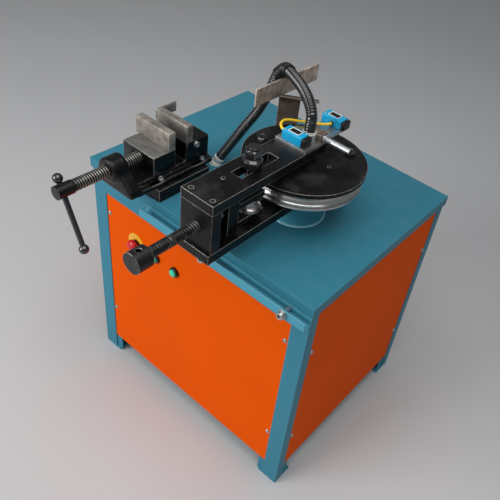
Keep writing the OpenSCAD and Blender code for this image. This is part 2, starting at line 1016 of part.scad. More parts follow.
module arm_bottom_plate() {
    color("#1c1c1d")
        translate([pivot_x, pivot_y, 0])
            difference() {
                translate([0, 0, arm_bottom])
                    linear_extrude(arm_plate_t)
                        arm_outline(-arm_reach - bottom_plate_toe);
                rod_z(spindle_r + run_fit, arm_bottom - past, arm_floor + past);
            }
}

module arm_top_plate() {
    slot_end = slot_back - pivot_y;
    color("#232324")
        translate([pivot_x, pivot_y, 0])
            difference() {
                translate([0, 0, arm_ceiling])
                    linear_extrude(arm_plate_t)
                        arm_outline(-arm_reach);
                rod_z(spindle_r + run_fit, arm_ceiling - past, arm_top + past);
                block([-slot_w / 2, slot_end - slot_len, arm_ceiling - past],
                    [slot_w / 2, slot_end, arm_top + past]);
                translate([mark_screw_x, mark_screw_y - pivot_y, 0])
                    rod_z(mark_screw_r + bolt_gap, arm_ceiling - past, arm_top + past);
                for (x = [-1, 1])
                    translate([x * (arm_w / 2 - arm_bolt_in), -arm_reach + front_block_t / 2, 0])
                        rod_z(arm_bolt_r + bolt_gap, arm_ceiling - past, arm_top + past);
            }
}

module arm_front_block() {
    color("#1e1e1f")
        difference() {
            block([pivot_x - arm_w / 2, arm_front, arm_floor],
                [pivot_x + arm_w / 2, front_block_back, arm_ceiling]);
            translate([pivot_x, 0, feed_z])
                rod_y(feed_r + run_fit, arm_front - past, front_block_back + past);
            for (x = [-1, 1])
                translate([pivot_x + x * (arm_w / 2 - arm_bolt_in), arm_front + front_block_t / 2, 0])
                    rod_z(arm_bolt_r + bolt_gap, arm_ceiling - arm_hole_depth, arm_ceiling + past);
        }
}

module arm_bolts() {
    color("#2b2b2c") {
        for (x = [-1, 1])
            translate([pivot_x + x * (arm_w / 2 - arm_bolt_in), arm_front + front_block_t / 2, 0])
                rod_z(arm_bolt_r, arm_ceiling - arm_bolt_depth, arm_top);
        translate([pivot_x + mark_screw_x, mark_screw_y, 0]) {
            rod_z(mark_screw_r, arm_ceiling + past, arm_top + past);
            rod_z(mark_head_r, arm_top, arm_top + mark_head_h);
        }
    }
}

module carriage_fork() {
    low_cheek = roller_bottom - slide_gap;
    high_cheek = roller_top + slide_gap;
    color("#2a2a2b")
        translate([pivot_x, 0, 0])
            difference() {
                union() {
                    block([-cheek_w / 2, fork_front, arm_floor + slide_gap],
                        [cheek_w / 2, fork_back, arm_ceiling - slide_gap]);
                    block([-cheek_w / 2, fork_back - past, low_cheek - cheek_t],
                        [cheek_w / 2, cheek_front, low_cheek]);
                    block([-cheek_w / 2, fork_back - past, high_cheek],
                        [cheek_w / 2, cheek_front, high_cheek + cheek_t]);
                }
                translate([0, roller_y, 0])
                    rod_z(axle_r + run_fit, low_cheek - cheek_t - past, high_cheek + cheek_t + past);
                translate([0, 0, feed_z])
                    rod_y(feed_nose_r + run_fit, fork_front - past, fork_front + feed_nose_len + slide_gap);
            }
}

module roller_axle() {
    low = roller_bottom - slide_gap - cheek_t;
    color("#77797b")
        translate([pivot_x, roller_y, 0])
            rod_z(axle_r, low, arm_top + slide_gap + axle_washer_t + 2 * nut_h + axle_stub);
}

module axle_nuts() {
    seat = arm_top + slide_gap;
    color("#454648")
        translate([pivot_x, roller_y, 0])
            for (part = [0 : 2])
                difference() {
                    if (part == 0)
                        rod_z(axle_washer_r, seat, seat + axle_washer_t);
                    else
                        hexagon_z(nut_af, seat + axle_washer_t + (part - 1) * nut_h,
                            seat + axle_washer_t + part * nut_h - slide_gap);
                    rod_z(axle_r + run_fit, seat - past, seat + axle_washer_t + 2 * nut_h + past);
                }
}

module pressure_roller() {
    color("#a9abac")
        translate([pivot_x, roller_y, 0])
            grooved_wheel(roller_r, roller_h, groove_z, axle_r + run_fit);
}

module feed_screw() {
    color("#242425")
        translate([pivot_x, 0, feed_z])
            difference() {
                union() {
                    rod_y(feed_nose_r, fork_front - past, fork_front + feed_nose_len);
                    rod_y(feed_r, feed_head_back - past, fork_front - slide_gap);
                    rod_y(feed_r + feed_collar_w, feed_head_back - past, feed_head_back + feed_collar_len);
                    rod_y(feed_head_r, feed_head_end, feed_head_back);
                }
                translate([0, (feed_head_end + feed_head_back) / 2, 0])
                    rod_z(feed_bar_hole_r, -feed_head_r - past, feed_head_r + past);
            }
}

// Sensing

module sensor_plate() {
    left = -arm_w / 2 + sensor_plate_in;
    color("#d5d8da")
        translate([pivot_x, pivot_y, 0])
            difference() {
                union() {
                    block([left, -sensor_plate_front, arm_top], [arm_w / 2, sensor_plate_back, sensor_deck]);
                    block([-tongue_left, sensor_plate_back - past, arm_top],
                        [arm_w / 2 - tongue_in, tongue_back, sensor_deck]);
                }
                translate([left, sensor_plate_back, 0])
                    rod_z(sensor_notch_r, arm_top - past, sensor_deck + past);
            }
}

module limit_switch(place) {
    half = switch_size / 2;
    top = switch_size[2];
    color("#1f9fd8")
        translate([pivot_x + place[0], pivot_y + place[1], sensor_deck]) {
            block([-half[0], -half[1], 0], [half[0], half[1], top]);
            block([half[0] - past, -half[1] + switch_nose_in, past],
                [half[0] + switch_nose, half[1] - switch_nose_in, top - switch_nose_in]);
            block([-switch_cover[0] / 2, -switch_cover[1] / 2, top - past],
                [switch_cover[0] / 2, switch_cover[1] / 2, top + switch_cover[2]]);
        }
}

module switch_front() {
    limit_switch(switch_front_place);
}

module switch_rear() {
    limit_switch(switch_rear_place);
}

module switch_wire() {
    color("#f0c93a")
        translate([pivot_x, pivot_y, sensor_deck])
            solid_tube(wire_route, wire_r, wire_sides, wire_steps);
}

module proximity_sensor() {
    x0 = pivot_x + swivel_r + sensor_start;
    color("#cfd3d6")
        translate([0, pivot_y - sensor_aside, sensor_deck + sensor_r + sensor_lift]) {
            rod_x(sensor_r, x0, x0 + sensor_len);
            translate([x0 + sensor_nut_at, 0, 0])
                rotate([0, 90, 0])
                    cylinder(r = sensor_r + sensor_nut_w, h = sensor_nut_t, $fn = 6);
        }
}

module sensor_clamp() {
    x0 = pivot_x + swivel_r + clamp_start;
    axis_z = sensor_deck + sensor_r + sensor_lift;
    half = sensor_r + clamp_wall;
    color("#8b8178")
        translate([0, pivot_y - sensor_aside, 0])
            difference() {
                block([x0, -half, sensor_deck], [x0 + clamp_len, half, axis_z + sensor_r + clamp_cap]);
                translate([0, 0, axis_z])
                    rod_x(sensor_r + run_fit, x0 - past, x0 + clamp_len + past);
            }
}

module swivel_gland() {
    low = sensor_deck;
    high = conduit_route[len(conduit_route) - 1][2];
    color("#e4e4e0")
        translate([pivot_x, pivot_y, 0]) {
            hexagon_z(2 * swivel_r * cos(30), low, low + swivel_hex_h);
            rod_z(swivel_r - swivel_step, low + past, high - slide_gap);
        }
}

module flag_post() {
    color("#5c5048")
        translate([post_x, post_y, 0])
            rotate([0, 0, post_turn]) {
                block([-post_w / 2, 0, table_h], [post_w / 2, post_t, post_top]);
                block([-post_w / 2 + post_bar_in, post_t - post_bar_w, post_top - post_t],
                    [post_bar_len - post_w / 2, post_t, post_top]);
                difference() {
                    block([-post_w / 2, 0, table_h], [post_w / 2, post_foot, table_h + post_foot_t]);
                    for (x = [-1, 1])
                        translate([x * post_bolt_out, post_foot - post_bolt_in, 0])
                            rod_z(post_bolt_r + bolt_gap, table_h - past, table_h + post_foot_t + past);
                }
            }
}

module post_bolts() {
    color("#9aa0a3")
        translate([post_x, post_y, 0])
            rotate([0, 0, post_turn])
                for (x = [-1, 1])
                    translate([x * post_bolt_out, post_foot - post_bolt_in, table_h]) {
                        hexagon_z(post_bolt_af, post_foot_t, post_foot_t + post_bolt_h);
                        rod_z(post_bolt_r, 0, post_foot_t + past);
                    }
}

module flag_strip() {
    color("#8a7c72")
        block([flag_x - flag_t / 2, flag_y, flag_bottom],
            [flag_x + flag_t / 2, flag_y + flag_len, flag_bottom + flag_h]);
}

module conduit_gland() {
    reach = gland_r + gland_len;
    color("#dcdcd8") {
        translate(gland_foot)
            rod_z(gland_r + gland_foot_w, 0, gland_foot_t);
        difference() {
            translate(gland_start)
                rotate([0, acos(gland_lean[2]), atan2(gland_lean[1], gland_lean[0])])
                    rod_z(gland_r, -gland_len, -slide_gap);
            translate(gland_foot)
                block([-reach, -reach, -reach], [reach, reach, 0]);
        }
    }
}

module conduit() {
    color("#1a1a1b")
        ribbed_hose(conduit_route, conduit_r, conduit_wall, rib_depth, rib_pitch, conduit_sides);
}

// Vise

module vise_riser() {
    color("#202021")
        block([vise_x - vise_flange_w / 2 - riser_left, -half_d, table_h],
            [vise_x + vise_flange_w / 2 + riser_right, vise_back - riser_short, flange_z]);
}

module yoke_outline() {
    rise = vise_screw_z - guide_z + past;
    translate([0, guide_z - past])
        polygon([[-vise_flange_w / 2, 0], [vise_flange_w / 2, 0], [yoke_r, rise], [-yoke_r, rise]]);
    translate([0, vise_screw_z])
        circle(r = yoke_r);
}

module vise_base() {
    color("#1f1f20")
        translate([vise_x, 0, 0])
            difference() {
                union() {
                    block([-vise_flange_w / 2, vise_front, flange_z],
                        [vise_flange_w / 2, vise_back, guide_z]);
                    block([-jaw_w / 2, vise_front + yoke_t - past, guide_z - past],
                        [jaw_w / 2, fixed_plate_face + past, jaw_floor]);
                    block([-jaw_w / 2, fixed_plate_face, guide_z - past],
                        [jaw_w / 2, fixed_face + fixed_block_t, jaw_block_top]);
                    translate([0, vise_front + yoke_t, 0])
                        rotate([90, 0, 0])
                            linear_extrude(yoke_t)
                                yoke_outline();
                    translate([0, 0, vise_screw_z])
                        rod_y(yoke_r, vise_front - yoke_hub_len, vise_front + past);
                }
                translate([0, 0, vise_screw_z])
                    rod_y(vise_screw_r + run_fit, vise_front - yoke_hub_len - past,
                        vise_front + yoke_t + past);
                for (sx = [-1, 1])
                    for (y = vise_bolt_y)
                        translate([sx * vise_bolt_x, y, 0])
                            bolt_slot();
                translate([jaw_w / 2, lock_y, lock_z])
                    rod_x(lock_screw_r + bolt_gap, -lock_len - past, past);
            }
}

module bolt_slot() {
    r = vise_bolt_r + bolt_gap;
    for (y = [-vise_slot_len, 0])
        translate([0, y, 0])
            rod_z(r, flange_z - past, guide_z + past);
    block([-r, -vise_slot_len, flange_z - past], [r, 0, guide_z + past]);
}

module vise_bolts() {
    color("#8f9396")
        for (sx = [-1, 1])
            for (y = vise_bolt_y)
                translate([vise_x + sx * vise_bolt_x, y, 0]) {
                    hexagon_z(vise_bolt_af, guide_z, guide_z + vise_bolt_h);
                    rod_z(vise_bolt_r, flange_z, guide_z + past);
                }
}

module jaw_lock_screw() {
    color("#c4c8cb")
        translate([vise_x + jaw_w / 2, lock_y, lock_z])
            difference() {
                union() {
                    rod_x(lock_head_r, 0, lock_head_h);
                    rod_x(lock_screw_r, -lock_len, past);
                }
                translate([lock_head_h - lock_socket_depth, 0, 0])
                    rotate([0, 90, 0])
                        cylinder(r = lock_socket_r, h = lock_socket_depth + past, $fn = 6);
            }
}

module jaw_plate(y0, y1, over) {
    block([vise_x - jaw_w / 2 - over, y0, jaw_plate_z],
        [vise_x + jaw_w / 2, y1, jaw_plate_z + jaw_plate_h]);
}

module fixed_jaw_plate() {
    color("#b4ada3")
        jaw_plate(fixed_plate_face, fixed_face, 0);
}

module jaw_end_strip() {
    edge = vise_x - jaw_w / 2;
    top = jaw_plate_z + jaw_plate_h;
    color("#b4ada3")
        block([edge - strip_t, fixed_plate_face, top - strip_h], [edge, fixed_face + strip_tail, top]);
}

module moving_jaw() {
    color("#2b2b2c")
        difference() {
            block([vise_x - jaw_w / 2, moving_block_back, jaw_floor + slide_gap],
                [vise_x + jaw_w / 2, moving_plate_face, jaw_block_top]);
            translate([vise_x, (moving_block_back + moving_plate_back) / 2, 0])
                rod_z(jaw_oil_r, jaw_block_top - jaw_oil_depth, jaw_block_top + past);
            translate([vise_x, 0, vise_screw_z])
                rod_y(vise_nose_r + run_fit, moving_block_back - past,
                    moving_block_back + vise_nose_len + slide_gap);
        }
}

module moving_jaw_plate() {
    color("#b4ada3")
        jaw_plate(moving_plate_back, moving_plate_face, plate_over);
}

module vise_screw() {
    color("#242425")
        translate([vise_x, 0, vise_screw_z])
            difference() {
                union() {
                    rod_y(vise_nose_r, moving_block_back - past, moving_block_back + vise_nose_len);
                    rod_y(vise_screw_r, vise_head_end + vise_head_len - past, moving_block_back - slide_gap);
                    rod_y(vise_head_r, vise_head_end, vise_head_end + vise_head_len);
                }
                translate([0, bar_y, 0])
                    rotate([0, -bar_lean, 0])
                        rod_z(bar_r + run_fit, -vise_head_r - past, vise_head_r + past);
            }
}

module tommy_bar() {
    color("#3a3a3c")
        translate([vise_x, bar_y, vise_screw_z])
            rotate([0, -bar_lean, 0]) {
                rod_z(bar_r, bar_up - bar_len, bar_up);
                for (z = [bar_up - bar_len, bar_up])
                    translate([0, 0, z])
                        sphere(r = ball_r);
            }
}

corner_legs();
top_frame();
bottom_frame();
base_shelf();
table_top();
front_panel();
rear_panel();
left_panel();
right_panel();
panel_screws();
front_trough();
trough_bolts();
estop_plate();
estop_collar();
estop_button();
button_bezels();
start_button();
jog_button();
bearing_boss();
boss_bushes();
gearbox();
motor();
control_box();
drive_sleeve();
spindle();
spindle_nut();
bending_die();
die_cover();
cover_bolts();
arm_bottom_plate();
arm_top_plate();
arm_front_block();
arm_bolts();
carriage_fork();
roller_axle();
axle_nuts();
pressure_roller();
feed_screw();
sensor_plate();
switch_front();
switch_rear();
switch_wire();
proximity_sensor();
sensor_clamp();
swivel_gland();
vise_riser();
vise_base();
fixed_jaw_plate();
jaw_end_strip();
vise_bolts();
jaw_lock_screw();
moving_jaw();
moving_jaw_plate();
vise_screw();
tommy_bar();
flag_post();
flag_strip();
post_bolts();
conduit_gland();
conduit();
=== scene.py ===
# %% [markdown]
# # A pipe bending machine
# This lesson dresses a packed machine: a teal and orange sheet steel cabinet that carries a
# black bending arm, a bright grooved die and a small screw vise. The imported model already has
# every piece at its real size, so the work here is finishes, threads, bolts, the ribbed conduit,
# a weld and the light. Everything is in metres, with X along the front, Y to the rear and Z up.

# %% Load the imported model
import json
import math

import bmesh
import bpy
from mathutils import Matrix, Vector


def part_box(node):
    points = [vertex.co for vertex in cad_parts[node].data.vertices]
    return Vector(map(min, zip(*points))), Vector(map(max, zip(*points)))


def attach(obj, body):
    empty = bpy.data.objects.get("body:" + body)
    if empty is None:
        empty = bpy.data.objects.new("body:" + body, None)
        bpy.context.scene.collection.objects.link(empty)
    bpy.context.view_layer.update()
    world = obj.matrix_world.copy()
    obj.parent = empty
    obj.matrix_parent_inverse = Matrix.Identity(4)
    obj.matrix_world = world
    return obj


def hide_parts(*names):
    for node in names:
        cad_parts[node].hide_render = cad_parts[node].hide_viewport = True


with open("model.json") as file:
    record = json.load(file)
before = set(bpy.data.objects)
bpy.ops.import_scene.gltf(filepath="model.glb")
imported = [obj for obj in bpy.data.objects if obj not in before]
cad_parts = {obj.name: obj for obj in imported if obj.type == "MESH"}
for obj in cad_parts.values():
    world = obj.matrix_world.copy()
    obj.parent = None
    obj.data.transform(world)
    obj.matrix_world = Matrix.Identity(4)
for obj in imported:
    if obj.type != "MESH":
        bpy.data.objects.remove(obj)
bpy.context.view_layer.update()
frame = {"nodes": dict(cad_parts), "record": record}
nodes = frame["nodes"]
record = frame["record"]
body_of = {n: body for body, names in record["behaviour"]["bodies"].items() for n in names}

# %% [markdown]
# ## Camera
# A photograph is matched by standing where the photographer stood. That could be done by eye, but
# fitting the cabinet's corners gives the place, the turn and the lens together. A little lens shift
# keeps the framing, because the picture was cropped off its middle.

# %% Camera
photo_side = 500
camera_place = Vector((0.754, -1.038, 1.578))
camera_turn = (50.45, -7.84, 38.98)
focal_pixels = 612.8
optical_centre = (295.6, 228.5)

camera_data = bpy.data.cameras.new("camera")
camera_data.sensor_width = 36
camera_data.lens = focal_pixels / photo_side * camera_data.sensor_width
camera_data.shift_x = (photo_side / 2 - optical_centre[0]) / photo_side
camera_data.shift_y = (optical_centre[1] - photo_side / 2) / photo_side
camera = bpy.data.objects.new("camera", camera_data)
camera.location = camera_place
camera.rotation_euler = [math.radians(a) for a in camera_turn]
bpy.context.scene.collection.objects.link(camera)
bpy.context.scene.camera = camera
print("camera lens", round(camera_data.lens, 1), "mm")

# %% [markdown]
# ## Floor and light
# A studio floor is a large pale sheet. A sun lamp would be simpler, but glossy black needs something
# large to mirror, so two big soft lamps keep the black parts readable. The key lamp stands low and
# to the left of the front, so that the front panel is bright and the right one falls into shade.
# The top lamp hangs on the camera's side, where flat tops don't mirror it.

# %% Floor and light
def soft_lamp(name, place, target, size, power):
    lamp = bpy.data.lights.new(name, "AREA")
    lamp.shape = "SQUARE"
    lamp.size = size
    lamp.energy = power
    thing = bpy.data.objects.new(name, lamp)
    thing.location = place
    thing.rotation_euler = (Vector(target) - Vector(place)).to_track_quat("-Z", "Y").to_euler()
    bpy.context.scene.collection.objects.link(thing)


machine_middle = (0.0, -0.1, 0.5)
soft_lamp("key_lamp", (-1.5, -3.2, 1.9), machine_middle, size=2.2, power=92)
soft_lamp("top_lamp", (0.5, -0.5, 3.0), machine_middle, size=2.4, power=46)

world = bpy.data.worlds.new("studio")
world.use_nodes = True
world.node_tree.nodes["Background"].inputs["Color"].default_value = (0.95, 0.97, 1.0, 1)
world.node_tree.nodes["Background"].inputs["Strength"].default_value = 0.21
bpy.context.scene.world = world
bpy.context.scene.view_settings.view_transform = "Standard"

floor_half = 7.0
floor_mesh = bpy.data.meshes.new("floor")
floor_corners = [(-floor_half, -floor_half, 0), (floor_half, -floor_half, 0),
                 (floor_half, floor_half, 0), (-floor_half, floor_half, 0)]
floor_mesh.from_pydata(floor_corners, [], [(0, 1, 2, 3)])
floor = bpy.data.objects.new("floor", floor_mesh)
bpy.context.scene.collection.objects.link(floor)
print("floor", 2 * floor_half, "m wide")

# %% [markdown]
# ## Writing node trees as sums
# A finish is a little recipe: colour here, roughness there, a mask where paint has rubbed off.
# Wiring each Math node by hand hides the recipe, so one small class wraps a socket and turns
# Python's own operators into Math nodes. Any other node comes from one method, `node`. The same
# two classes serve the shaders below and the geometry trees after them.

# %% Sums in node trees
class Value:
    """A number that varies from place to place. Sums with it add Math nodes to its tree."""

    def __init__(self, graph, socket):
        self.graph = graph
        self.socket = socket

    def maths(self, operation, first, second=0.0, clamp=False):
        settings = {"operation": operation, "use_clamp": clamp}
        made = self.graph.node("ShaderNodeMath", settings, {0: first, 1: second})
        return Value(self.graph, made.outputs[0])

    def __add__(self, other):
        return self.maths("ADD", self, other)

    def __radd__(self, other):
        return self.maths("ADD", other, self)

    def __sub__(self, other):
        return self.maths("SUBTRACT", self, other)

    def __rsub__(self, other):
        return self.maths("SUBTRACT", other, self)

    def __mul__(self, other):
        return self.maths("MULTIPLY", self, other)

    def __rmul__(self, other):
        return self.maths("MULTIPLY", other, self)

    def __truediv__(self, other):
        return self.maths("DIVIDE", self, other)

    def clamped(self):
        return self.maths("ADD", self, 0.0, clamp=True)

    def sine(self):
        return self.maths("SINE", self)

    def cosine(self):
        return self.maths("COSINE", self)

    def fraction(self):
        return self.maths("FRACT", self)

    def size(self):
        return self.maths("ABSOLUTE", self)

    def above(self, level, softness):
        """Rises from 0 to 1 as the value passes level, over a band of that softness."""
        return ((self - level) * (1.0 / softness) + 0.5).clamped()


print("sums ready")


# %% Nodes of any kind
class Graph:
    """A node tree, and the one method that adds a node to it."""

    def __init__(self, tree):
        self.tree = tree

    def node(self, kind, settings, values):
        made = self.tree.nodes.new(kind)
        for key, setting in settings.items():
            setattr(made, key, setting)
        for key, value in values.items():
            self.feed(value, made.inputs[key])
        return made

    def feed(self, value, socket):
        if isinstance(value, Value):
            self.tree.links.new(value.socket, socket)
        elif isinstance(value, bpy.types.NodeSocket):
            self.tree.links.new(value, socket)
        else:
            socket.default_value = value

    def part(self, vector, axis):
        return Value(self, self.node("ShaderNodeSeparateXYZ", {}, {0: vector}).outputs[axis])


print("node trees ready")

# %% [markdown]
# ## What the finishes share
# Every finish reads the piece's own coordinates, so a pattern stays with its piece as it moves.
# The Bevel node does two jobs: it rounds the edges for the light, and where it disagrees with the
# flat normal there is an edge, which is where paint wears through first.

# %% Finish
class Finish(Graph):
    """One material, with the few nodes that all the finishes here are made of."""

    sockets = {"colour": "Base Color", "roughness": "Roughness", "metallic": "Metallic",
               "normal": "Normal", "coat": "Coat Weight", "specular": "Specular IOR Level"}

    def __init__(self, name):
        self.material = bpy.data.materials.new(name)
        self.material.use_nodes = True
        super().__init__(self.material.node_tree)
        self.shader = self.tree.nodes["Principled BSDF"]
        self.place = self.node("ShaderNodeTexCoord", {}, {}).outputs["Object"]
        self.flat = self.node("ShaderNodeNewGeometry", {}, {}).outputs["True Normal"]
        self.rounded = None

    def moved(self, scale, centre=(0, 0, 0)):
        made = self.node("ShaderNodeMapping", {"vector_type": "TEXTURE"},
                         {"Vector": self.place, "Location": centre, "Scale": scale})
        return made.outputs[0]

    def noise(self, scale, detail=3.0, place=None):
        made = self.node("ShaderNodeTexNoise", {},
                         {"Vector": place or self.place, "Scale": scale, "Detail": detail})
        return Value(self, made.outputs[0])

    def mix(self, first, second, amount):
        made = self.node("ShaderNodeMix", {"data_type": "RGBA"}, {0: amount, 6: first, 7: second})
        return made.outputs[2]

    def edge(self, radius):
        """0 on a flat face, and rising to 1 on a corner rounded to that radius."""
        self.rounded = self.node("ShaderNodeBevel", {"samples": 6}, {"Radius": radius}).outputs[0]
        made = self.node("ShaderNodeVectorMath", {"operation": "DOT_PRODUCT"},
                         {0: self.rounded, 1: self.flat})
        return ((1.0 - Value(self, made.outputs["Value"])) * 4.0).clamped()

    def facing_up(self):
        return self.part(self.flat, 2).above(0.8, 0.2)

    def distance(self, centre, axes):
        """How far a point is from a line through centre, along whichever axis is 0 in axes."""
        centred = self.moved((1, 1, 1), centre)
        kept = self.node("ShaderNodeVectorMath", {"operation": "MULTIPLY"}, {0: centred, 1: axes})
        made = self.node("ShaderNodeVectorMath", {"operation": "LENGTH"}, {0: kept.outputs[0]})
        return Value(self, made.outputs["Value"])

    def bump(self, height, depth):
        values = {"Strength": 1.0, "Distance": depth, "Height": height, "Normal": self.rounded}
        return self.node("ShaderNodeBump", {}, values).outputs[0]

    def surface(self, **shown):
        for key, value in shown.items():
            self.feed(value, self.shader.inputs[self.sockets[key]])
        return self.material


print("a finish sets", ", ".join(Finish.sockets))


# %% Colours
def colour(red, green, blue):
    """A colour as it is picked from a screen, 0 to 255, as the shader wants it."""
    def linear(level):
        share = level / 255
        return share / 12.92 if share <= 0.04045 else ((share + 0.055) / 1.055) ** 2.4
    return (linear(red), linear(green), linear(blue), 1.0)


def shade(base, amount):
    return tuple(min(1.0, c * amount) for c in base[:3]) + (1.0,)


print("middle grey is", round(colour(128, 128, 128)[0], 3), "to the shader")

# %% [markdown]
# ## Paint on sheet steel
# Powder coat is sprayed dry and baked. Seen close it has a fine orange-peel ripple, its colour
# drifts a little over a panel, and it is rubbed thin along edges where a paler coat shows. A painted
# image could hold all that, but noise needs no unwrapping and doesn't repeat from panel to panel.

# %% Powder coat
def powder_coat(name, base, rubbed_to, roughness, sheen):
    f = Finish(name)
    edge = f.edge(0.0018)
    cloud = f.noise(2.6, 3.0)
    blotch = f.noise(30.0, 4.0)
    rubbed = (edge * 0.9 + f.noise(150.0, 4.0) * 0.9).above(0.95, 0.25)
    settled = f.facing_up() * blotch.above(0.60, 0.35) * 0.05
    shown = f.mix(shade(base, 0.90), shade(base, 1.10), cloud)
    shown = f.mix(shown, rubbed_to, rubbed * 0.6)
    shown = f.mix(shown, colour(160, 168, 168), settled)
    rough = roughness + (cloud - 0.5) * 0.12 + (blotch - 0.5) * 0.06 + settled * 0.4
    normal = f.bump(f.noise(520.0, 2.0) + blotch * 0.6, 0.00010)
    return f.surface(colour=shown, roughness=rough, normal=normal, specular=sheen)


top_coat = powder_coat("worktop_powder_coat", colour(54, 122, 142), colour(120, 178, 194),
                       roughness=0.40, sheen=0.14)
teal_coat = powder_coat("teal_powder_coat", colour(58, 128, 150), colour(140, 186, 200),
                        roughness=0.44, sheen=0.12)
# The trough and the bearing boss wear a lighter copy of the cabinet's teal. It is painted lighter to
# make up for the shade under the table's lip and the die, so its extra brightness is painted light.
teal_coat_painted_lighter = powder_coat("trough_powder_coat", colour(76, 154, 176), colour(200, 228, 234),
                          roughness=0.40, sheen=0.14)
orange_coat = powder_coat("orange_powder_coat", colour(232, 86, 1), colour(240, 130, 50),
                          roughness=0.60, sheen=0.03)
print("paint:", top_coat.name, teal_coat.name, teal_coat_painted_lighter.name, orange_coat.name)

# %% [markdown]
# ## Black enamel and black castings
# The arm is cut from plate and brushed with black enamel, so it is smooth with faint scratches
# and a bright rubbed line on its corners. The vise is a sand casting under the same black: its
# skin is pebbled, and the pebbles catch the light. The sliding jaw's top was milled bare. One recipe
# with more settings could serve both, but two short ones are easier to follow.

# %% Enamel on plate
bare_edge = colour(196, 192, 184)


def black_enamel(name, base, roughness, scratch):
    f = Finish(name)
    edge = f.edge(0.0032)
    cloud = f.noise(14.0, 5.0)
    wipe = f.noise(60.0, 3.0, f.moved((1.0, 0.12, 1.0)))
    fine = f.noise(420.0, 2.0, f.moved((0.08, 1.0, 1.0)))
    rubbed = (edge * 0.9 + f.noise(70.0, 5.0) * 0.9).above(0.98, 0.16)
    marks = fine.above(0.68, 0.05) * wipe.above(0.54, 0.2) * scratch
    shown = f.mix(shade(base, 0.4), shade(base, 1.8), cloud.above(0.5, 0.4))
    shown = f.mix(shown, bare_edge, rubbed * 0.9)
    shown = f.mix(shown, colour(104, 104, 102), marks)
    settled = f.facing_up() * f.noise(22.0, 6.0).above(0.60, 0.2) * 0.06
    shown = f.mix(shown, colour(150, 146, 138), settled)
    rough = roughness + (cloud - 0.5) * 0.5 + settled * 2.0
    normal = f.bump(f.noise(300.0, 3.0) + wipe * 0.5, 0.00010)
    return f.surface(colour=shown, roughness=rough, metallic=rubbed * 0.3, normal=normal,
                     specular=0.2)


arm_enamel = black_enamel("arm_black_enamel", colour(12, 12, 13), roughness=0.42, scratch=0.5)
cover_enamel = black_enamel("cover_black_enamel", colour(16, 16, 17), roughness=0.46, scratch=0.35)
print("enamel:", arm_enamel.name, cover_enamel.name)


# %% Black castings
def sand_cast_black(name, base, milled, edge_width):
    f = Finish(name)
    edge = f.edge(edge_width)
    lump = f.noise(48.0, 3.0)
    lines = f.noise(500.0, 2.0, f.moved((30.0, 1.0, 1.0)))
    rubbed = (edge * 0.85 + f.noise(80.0, 5.0) * 0.9).above(0.94, 0.2)
    bare = f.facing_up() * (lump + 0.4).clamped() * milled
    shown = f.mix(shade(base, 0.7), shade(base, 1.5), lump)
    shown = f.mix(shown, f.mix(colour(92, 91, 88), colour(150, 148, 143), lines), bare)
    shown = f.mix(shown, bare_edge, rubbed * 0.75)
    rough = 0.30 + (lump - 0.5) * 0.3
    normal = f.bump(f.noise(260.0, 4.0) + lump * 1.6, 0.00040)
    return f.surface(colour=shown, roughness=rough, metallic=(rubbed + bare).clamped() * 0.4,
                     normal=normal, specular=0.3)


cast_black = sand_cast_black("vise_cast_black", colour(11, 11, 12), milled=0.0, edge_width=0.0070)
milled_black = sand_cast_black("jaw_block_milled_top", colour(11, 11, 12), milled=0.9,
                               edge_width=0.0034)
print("castings:", cast_black.name, milled_black.name)

# %% [markdown]
# ## Bare and plated steel
# A lathe leaves rings, a grinder leaves long lines and a plating bath leaves a soft even grey.
# Such rings are too fine to model, so on the die they are a sine of the distance from the swing
# axis, and they run true round it. The roller's rings run round its own axle in the same way.

# %% Turned steel
def middle(node):
    low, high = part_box(node)
    return (low + high) / 2


def turned_steel(name, base, axis, rings):
    f = Finish(name)
    radius = f.distance((axis.x, axis.y, 0), (1, 1, 0))
    edge = f.edge(0.0010)
    ring = ((radius + f.part(f.place, 2) * 0.9) * rings).sine() * 0.5 + 0.5
    smear = f.noise(24.0, 4.0)
    shown = f.mix(shade(base, 0.70), shade(base, 1.15), ring * 0.6 + smear * 0.4)
    shown = f.mix(shown, colour(92, 80, 66), smear.above(0.66, 0.2) * 0.35)
    rough = 0.16 + ring * 0.08 + smear * 0.12 + edge * 0.1
    normal = f.bump(ring + f.noise(900.0, 1.0, f.moved((40.0, 40.0, 1.0))), 0.00005)
    return f.surface(colour=shown, roughness=rough, metallic=1.0, normal=normal)


die_steel = turned_steel("die_turned_steel", colour(206, 206, 204), middle("bending_die"),
                         rings=5200.0)
roller_steel = turned_steel("roller_turned_steel", colour(190, 188, 184), middle("pressure_roller"),
                            rings=6200.0)
print("turned:", die_steel.name, roller_steel.name)


# %% Plated and cast metal
def plated_steel(name, base, roughness, stain):
    f = Finish(name)
    edge = f.edge(0.0010)
    bloom = f.noise(110.0, 4.0)
    shown = f.mix(shade(base, 0.78), shade(base, 1.15), bloom)
    shown = f.mix(shown, stain, f.noise(16.0, 3.0).above(0.58, 0.25) * 0.4)
    shown = f.mix(shown, bare_edge, edge * f.noise(90.0, 4.0).above(0.48, 0.3) * 0.6)
    rough = roughness + (bloom - 0.5) * 0.2
    return f.surface(colour=shown, roughness=rough, metallic=0.9, normal=f.bump(bloom, 0.00006))


zinc = plated_steel("zinc_plate", colour(190, 194, 196), roughness=0.32,
                    stain=colour(120, 116, 104))
dark_zinc = plated_steel("blackened_steel", colour(92, 92, 94), roughness=0.20,
                         stain=colour(48, 45, 42))
bronze = plated_steel("bush_bronze", colour(176, 134, 68), roughness=0.35,
                      stain=colour(96, 74, 44))
grey_casting = plated_steel("grey_casting", colour(92, 98, 102), roughness=0.6,
                            stain=colour(70, 70, 68))
print("plated and cast:", zinc.name, dark_zinc.name, bronze.name, grey_casting.name)

# %% [markdown]
# On a black screw the thread's crests are bright, where they rub in the nut, and so are the corners
# of the head. That wear could be painted on by hand, but both lie at a known distance from the
# screw's axis, so the distance finds them.

# %% Screw steel
feed_crest = 0.012
vise_crest = 0.014


